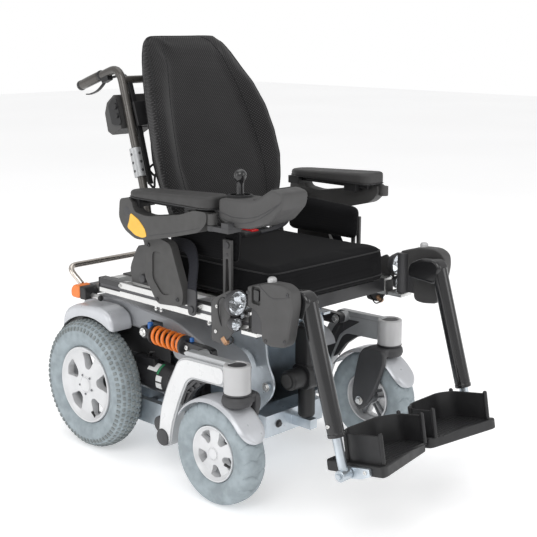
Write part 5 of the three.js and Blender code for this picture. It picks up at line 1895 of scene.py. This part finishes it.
# ------------------------------------------------------------------ joystick
def joystick():
    x, y, top = POD["x"], POD["stick_y"], POD["top"]
    outline = [
        (-537, 702), (-537, top - 4), (-556, top), (-640, top + 2), (-664, top + 10),
        (-706, top + 36), (-742, top + 28), (-738, 750), (-700, 712), (-640, 692), (-580, 688),
    ]
    well = lathe("z", (x, y, 0), [(0, 712), (25, 712), (25, top + 6), (0, top + 6)], 48)
    carved(
        "joystick_case", prism("x", rounded(outline, 12, 8), x - 42, x + 42), "grey",
        "joystick_pod", well, ["joystick_pod"], first=7, bevel=0.5, both=False,
    )
    lines = []
    for lift in (0, 13):
        path = [
            (-538, 722 - lift), (-590, 714 - lift), (-650, 720 - lift * 0.7),
            (-704, 744 - lift * 0.4), (-737, 764),
        ]
        lines += sweep([(x - 42.1, a, b) for a, b in smooth_path(path, 50)], circle(0.8, 6))
        lines += sweep([(x + 42.1, a, b) for a, b in smooth_path(path, 50)], circle(0.8, 6))
    make("joystick_case_lines", lines, "cast", "joystick_pod", bevel=0)
    arm = (
        rod((-313, -528, 676), (-313, -528, 689), 12, 32)
        + rod((-313, -528, 680), (-313, -528, 712), 5)
    )
    arm += box((-322, -590, 677), (-304, -528, 688)) + box((-321.5, -589.5, 677.5), (-280, -566, 700))
    make("joystick_swing_arm", arm, "cast", "joystick_pod", bevel=1.2)
    pad_front, pad_rear = (-700, top + 33.6), (-664, top + 12)

    def keypad(name, low, high, look, a0, a1, x0, x1, bevel):
        run = np.array(pad_front) - np.array(pad_rear)
        n = unit((-run[1], run[0]))
        n = n if n[1] > 0 else -n
        a, b = np.array(pad_rear) + a0 * run, np.array(pad_rear) + a1 * run
        quad = [a + low * n, b + low * n, b + high * n, a + high * n]
        make(
            name, prism("x", [tuple(q) for q in quad], x + x0, x + x1), look, "joystick_pod",
            bevel=bevel,
        )

    keypad("joystick_display", -1, 1.4, "gloss", 0.02, 1.0, -30, 30, 1)
    for k, dx in enumerate((-26, -9, 8)):
        make(
            f"joystick_key_{k}",
            prism(
                "z",
                rounded(
                    [(x + dx, -650), (x + dx + 15, -650), (x + dx + 15, -634), (x + dx, -634)], 3
                ),
                top - 1, top + 4,
            ),
            "plastic", "joystick_pod", bevel=1,
        )
    bellows = []
    for k, r in enumerate((32, 30, 28)):
        z = top + 0.6 + 1.7 * k
        bellows += lathe(
            "z", (x, y, 0),
            [
                (r - 4, z - 1), (r, z), (r + 0.8, z + 0.7), (r, z + 1.4), (r - 4, z + 1.8),
                (r - 4, z - 1),
            ],
            48,
        )
    make("joystick_bellows", bellows, "glove", "joystick_pod", bevel=0.3)
    ring = lathe("z", (x, y, 0), [(8.6, 735), (14, 735), (14, 741), (8.6, 741), (8.6, 735)], 40)
    for s in (-1, 1):
        ring += rod((x + s * 12, y, 738), (x + s * 22, y, 738), 2.4, 16)
    make("joystick_ring", ring, "aluminium", "joystick_gimbal", replaces=["joystick_gimbal"], bevel=0.3)
    stick = [(0, 730), (5, 731), (7.6, 736), (7.6, 740), (4, 745), (3.6, 748), (3.6, 780), (0, 780)]
    make(
        "joystick_shaft", lathe("z", (x, y, 0), stick, 36), "bright", "joystick_stick",
        replaces=["joystick_stick"], bevel=0.2,
    )
    cone = [
        (3.4, 748), (13, 752), (13.6, 753.4), (11, 755.5), (9.5, 757), (10, 758.5), (7.5, 761.5),
        (6.4, 763), (6.8, 764.6), (5, 768), (3.4, 772), (3.4, 748),
    ]
    make("joystick_boot", lathe("z", (x, y, 0), cone, 40), "glove", "joystick_stick", bevel=0)
    knob = [
        (0, 758), (8.5, 759), (9, 765), (8.6, 780), (10, 788), (13.5, 795), (14.8, 802), (13.8, 809)
    ]
    knob += [(9, 815), (0, 818)]
    smooth_knob = [tuple(p) for p in smooth_path(knob, 40)]
    smooth_knob[0], smooth_knob[-1] = (0, 758), (0, 818)
    make(
        "joystick_knob", lathe("z", (x, y, 0), smooth_knob, 48), "gloss", "joystick_stick", bevel=0,
        angle=60,
    )


# ------------------------------------------------------------------ legrests
def legrests():
    outline = [
        (-616, 556), (-616, 512), (-650, 506), (-668, 486), (-672, 434), (-700, 430), (-742, 436),
        (-752, 452), (-768, 540), (-764, 568), (-740, 580), (-690, 578),
    ]
    room = box((-300, -628, 430), (-240, -590, 600)) + box((-310, -660, 430), (-240, -600, 449.6))
    bore = (
        rod((-268, -634, 440), (-268, -634, 504), 8.6)
        + lathe("z", (-282, -690, 0), [(0, 566), (11.2, 566), (11.2, 600), (0, 600)], 32)
    )
    slot = prism("x", rounded([(-640, 562), (-640, 522), (-668, 520), (-668, 562)], 6), -300, -291)
    shapes = prism("x", rounded(outline, 16, 8), -298, -266.5)
    carved(
        "legrest_shell", shapes, "grey", "legrest_housing", room + bore + slot, ["legrest_housing"],
        first=5, bevel=0.6,
    )
    knuckle = (
        rod((-268, -634, 450), (-268, -634, 556), 17, 40)
        + box((-294, -700, 452), (-268, -636, 510))
    )
    carved("legrest_knuckle", knuckle, "cast", "legrest_housing", bore + room, first=1.2, bevel=0.4)
    pins = rod((-268, LEG["knee"][0], LEG["knee"][1]), (-250, LEG["knee"][0], LEG["knee"][1]), 9, 32)
    for y, z in ((-752, 560), (-744, 452), (-684, 442), (-628, 545)):
        pins += socket_head((-298.2, y, z), (-1, 0, 0), 4.4, 1.8)
    pair("legrest_screws", pins, "cast", "legrest_housing", bevel=0.3)
    lever = prism("x", rounded([(-646, 556), (-646, 530), (-662, 528), (-664, 554)], 5), -298.5, -292)
    pair("legrest_lever", lever, "gloss", "legrest_housing", bevel=1.5, segments=3)
    line = smooth_path([(-760, 556), (-730, 548), (-700, 546), (-660, 570)], 30)
    pair(
        "legrest_seam", sweep([(-298.1, y, z) for y, z in line], circle(0.7, 6)), "cast",
        "legrest_housing", bevel=0,
    )
    button = [(0, 571), (10.6, 571), (10.6, 582), (10, 585), (7.5, 588), (4, 589), (0, 589.3)]
    # The button takes the darkened white paint with its painted shade.
    pair(
        "legrest_button", lathe("z", (-282, -690, 0), button, 40), "barrel", "release_button",
        ["release_button"], bevel=0.3,
    )

    ky, kz = LEG["knee"]
    knee = rounded(
        [
            (ky + 20, kz - 16), (ky + 20, kz + 18), (ky - 20, kz + 40), (ky - 66, kz + 42),
            (ky - 84, kz + 24), (ky - 74, kz - 24),
        ],
        20, 8,
    )
    top = np.array([LEG["x"], *LEG["top"]], float)
    end = np.array([LEG["x"], *LEG["end"]], float)
    along = unit(end - top)
    inside = (
        rod(top + 60 * along, top + 340 * along, LEG["rod"] + 1.5, 32)
        + rod((-270, ky, kz), (-249, ky, kz), 9.8)
    )
    carved(
        "legrest_knee", prism("x", knee, -264.5, -224), "gloss", "legrest_tube", inside,
        ["legrest_tube"], first=9, bevel=0.4, segments=2,
    )
    leg = lathe(
        along, top,
        [
            (0, 8), (19, 8), (20, 10), (20, 300), (19.6, 305), (20.6, 306), (20.6, 313),
            (19, 314.5), (12.6, 314.5), (12.6, 62), (0, 62),
        ],
        48,
    )
    pair("legrest_upper_tube", leg, "gloss", "legrest_tube", bevel=0.5)
    screw = socket_head(tuple(top + 286 * along + np.array([-20, 0, 0])), (-1, 0, 0), 5, 3.6)
    screw += socket_head((-264.7, ky - 50, kz + 8), (-1, 0, 0), 5.5, 2)
    pair("legrest_tube_screw", screw, "bright", "legrest_tube", bevel=0.3)

    x, y, z = LEG["x"], FOOT["y"], FOOT["z"]
    inner = rod(top + 170 * along, (x, y + 0.5, z), LEG["rod"], 36)
    inner += (
        rod((x - 18, y, z), (x + 14, y, z), 13.5, 40, 1.2)
        + rod((x + 13, y, z), (-212, y, z), 6, 28)
    )
    inner += hex_head((x - 18, y, z), (-1, 0, 0), 15, 5)
    pair("legrest_inner_rod", inner, "zinc", "legrest_rod", ["legrest_rod"], bevel=0.4)


def footplates():
    low, deck, rim_top = -6, 20, 84
    outline = [(-221, 78), (-221, -92), (-206, -94), (-8, -52), (-6, 20), (-40, 52), (-150, 78)]
    bore = rod((-232, 0, 0), (-200, 0, 0), 6.8, 24)
    hole = lathe("z", (-204, 60, 0), [(0, low - 4), (6, low - 4), (6, deck + 6), (0, deck + 6)], 28)
    carved(
        "footplate_deck", pitched(prism("z", rounded(outline, 14, 8), low, deck)), "plastic",
        "footplate", pitched(bore + hole), ["footplate"], first=4, bevel=0.5,
    )
    path = [(-204, -80), (-205, 16), (-178, 44), (-66, 42), (-22, 10), (-21, -56)]
    middle = bent([(x, y, 50) for x, y in path], 16, 8)
    wall = sweep(
        middle, [(-2.5, -32), (2.5, -32), (2.5, 32), (1.2, 34), (-1.2, 34), (-2.5, 32)],
        up=(0, 0, 1),
    )
    pair("footplate_wall", pitched(wall), "plastic", "footplate", bevel=0.8)
    posts = []
    for x, y in ((-203, -82), (-21.5, -58), (-204, 20), (-22, 10)):
        posts += dome((x, y, deck - 2), (x, y, rim_top + 2), 5.2, 24, 0.9)
    pair("footplate_posts", pitched(posts), "plastic", "footplate", bevel=0.3)
    bracket = rounded([(16, -14), (-34, -12), (-60, -4), (-60, 14), (-34, 14), (16, 13)], 6)
    carved(
        "footplate_bracket", pitched(prism("x", bracket, -229, -219)), "zinc", "footplate",
        pitched(bore), first=0, bevel=0.8,
    )
    bolts = socket_head((-229, -48, 5), (-1, 0, 0), 5, 3)
    pair("footplate_bolts", pitched(bolts), "bright", "footplate", bevel=0.3)
    grip = []
    for k in range(9):
        y0 = -74 + 12 * k
        x0, x1 = (-190, -34) if k < 8 else (-170, -60)
        grip += box((x0, y0, deck - 0.5), (x1, y0 + 3.2, deck + 1.1))
    pair("footplate_ridges", pitched(grip), "plastic", "footplate", bevel=0.5)


# ------------------------------------------------------------------ camera, light and floor
def camera():
    """The viewing angle: from the user's right front, a little above the seat."""
    yaw, pitch, roll = math.radians(45.551), math.radians(12.533), math.radians(0.141)
    data = bpy.data.cameras.new("camera")
    data.sensor_width = 36
    data.lens = 73.73
    data.clip_start, data.clip_end = 0.05, 100
    cam = bpy.data.objects.new("camera", data)
    bpy.context.scene.collection.objects.link(cam)
    cam.location = at(-1997.1, -2360.4, 1140.1)
    forward = Vector(
        (math.sin(yaw) * math.cos(pitch), math.cos(yaw) * math.cos(pitch), -math.sin(pitch))
    )
    cam.rotation_mode = "QUATERNION"
    cam.rotation_quaternion = forward.to_track_quat("-Z", "Y") @ Quaternion((0, 0, 1), roll)
    bpy.context.scene.camera = cam


def area_light(name, place, target, size, power):
    data = bpy.data.lights.new(name, "AREA")
    data.shape = "RECTANGLE"
    data.size, data.size_y = size
    data.energy = power
    light = bpy.data.objects.new(name, data)
    bpy.context.scene.collection.objects.link(light)
    light.location = place
    light.rotation_mode = "QUATERNION"
    light.rotation_quaternion = (Vector(target) - Vector(place)).to_track_quat("-Z", "Y")


def studio():
    scene = bpy.context.scene
    scene.view_settings.view_transform = "Standard"
    world = bpy.data.worlds.new("studio")
    world.use_nodes = True
    nodes, links = world.node_tree.nodes, world.node_tree.links
    background = nodes["Background"]
    background.inputs["Color"].default_value = (1, 1, 1, 1)
    seen = nodes.new("ShaderNodeLightPath")
    strength = nodes.new("ShaderNodeMapRange")
    strength.inputs["To Min"].default_value = 0.62
    strength.inputs["To Max"].default_value = 1.0
    links.new(seen.outputs["Is Camera Ray"], strength.inputs["Value"])
    links.new(strength.outputs["Result"], background.inputs["Strength"])
    scene.world = world
    area_light("key", (-3.0, -2.2, 3.6), (0, 0, 0.5), (2.6, 2.6), 62)
    area_light("front_fill", (1.6, -4.2, 2.2), (0, -0.2, 0.5), (2.4, 2.4), 34)
    area_light("side_fill", (-4.0, 1.4, 1.6), (0, 0, 0.5), (2.0, 2.4), 26)
    area_light("top", (0, 0.6, 4.2), (0, 0, 0.6), (3.0, 3.0), 30)
    g = Graph("pale_floor")
    g.link(
        g.ramp(g.noise(0.6), (0.90, 0.90, 0.905), (0.93, 0.93, 0.935)),
        g.shader.inputs["Base Color"],
    )
    g.set(Roughness=0.85, Specular_IOR_Level=0.2, Emission_Color=(1, 1, 1, 1), Emission_Strength=0.36)
    bm = bmesh.new()
    bmesh.ops.create_grid(bm, x_segments=4, y_segments=4, size=14)
    mesh = bpy.data.meshes.new("floor")
    bm.to_mesh(mesh)
    bm.free()
    mesh.materials.append(g.material)
    floor = bpy.data.objects.new("floor", mesh)
    bpy.context.scene.collection.objects.link(floor)
    floor.location = (0, 0, cad_box[0].z - 0.0005)


# ------------------------------------------------------------------ the whole chair
camera()
studio()
drive_tyres()
caster_tyres()
rims("drive_rim", DRIVE, "drive_rim", "drive_wheel", 95.0)
rims("caster_rim", CASTER, "caster_rim", "caster_wheel", 51.0)
valve("drive_valve", DRIVE, "drive_wheel", math.radians(250))
valve("caster_valve", CASTER, "caster_wheel", math.radians(200))
caster_arms()
shocks()
caster_forks()
chassis()
fenders()
drive_motors()
tilt_actuator()
seat_frame()
rear_beam()
lamps()
seat_cushion()
back_cushion()
side_pads()
lap_belt()
back_frame()
control_module()
armrests()
joystick()
legrests()
footplates()
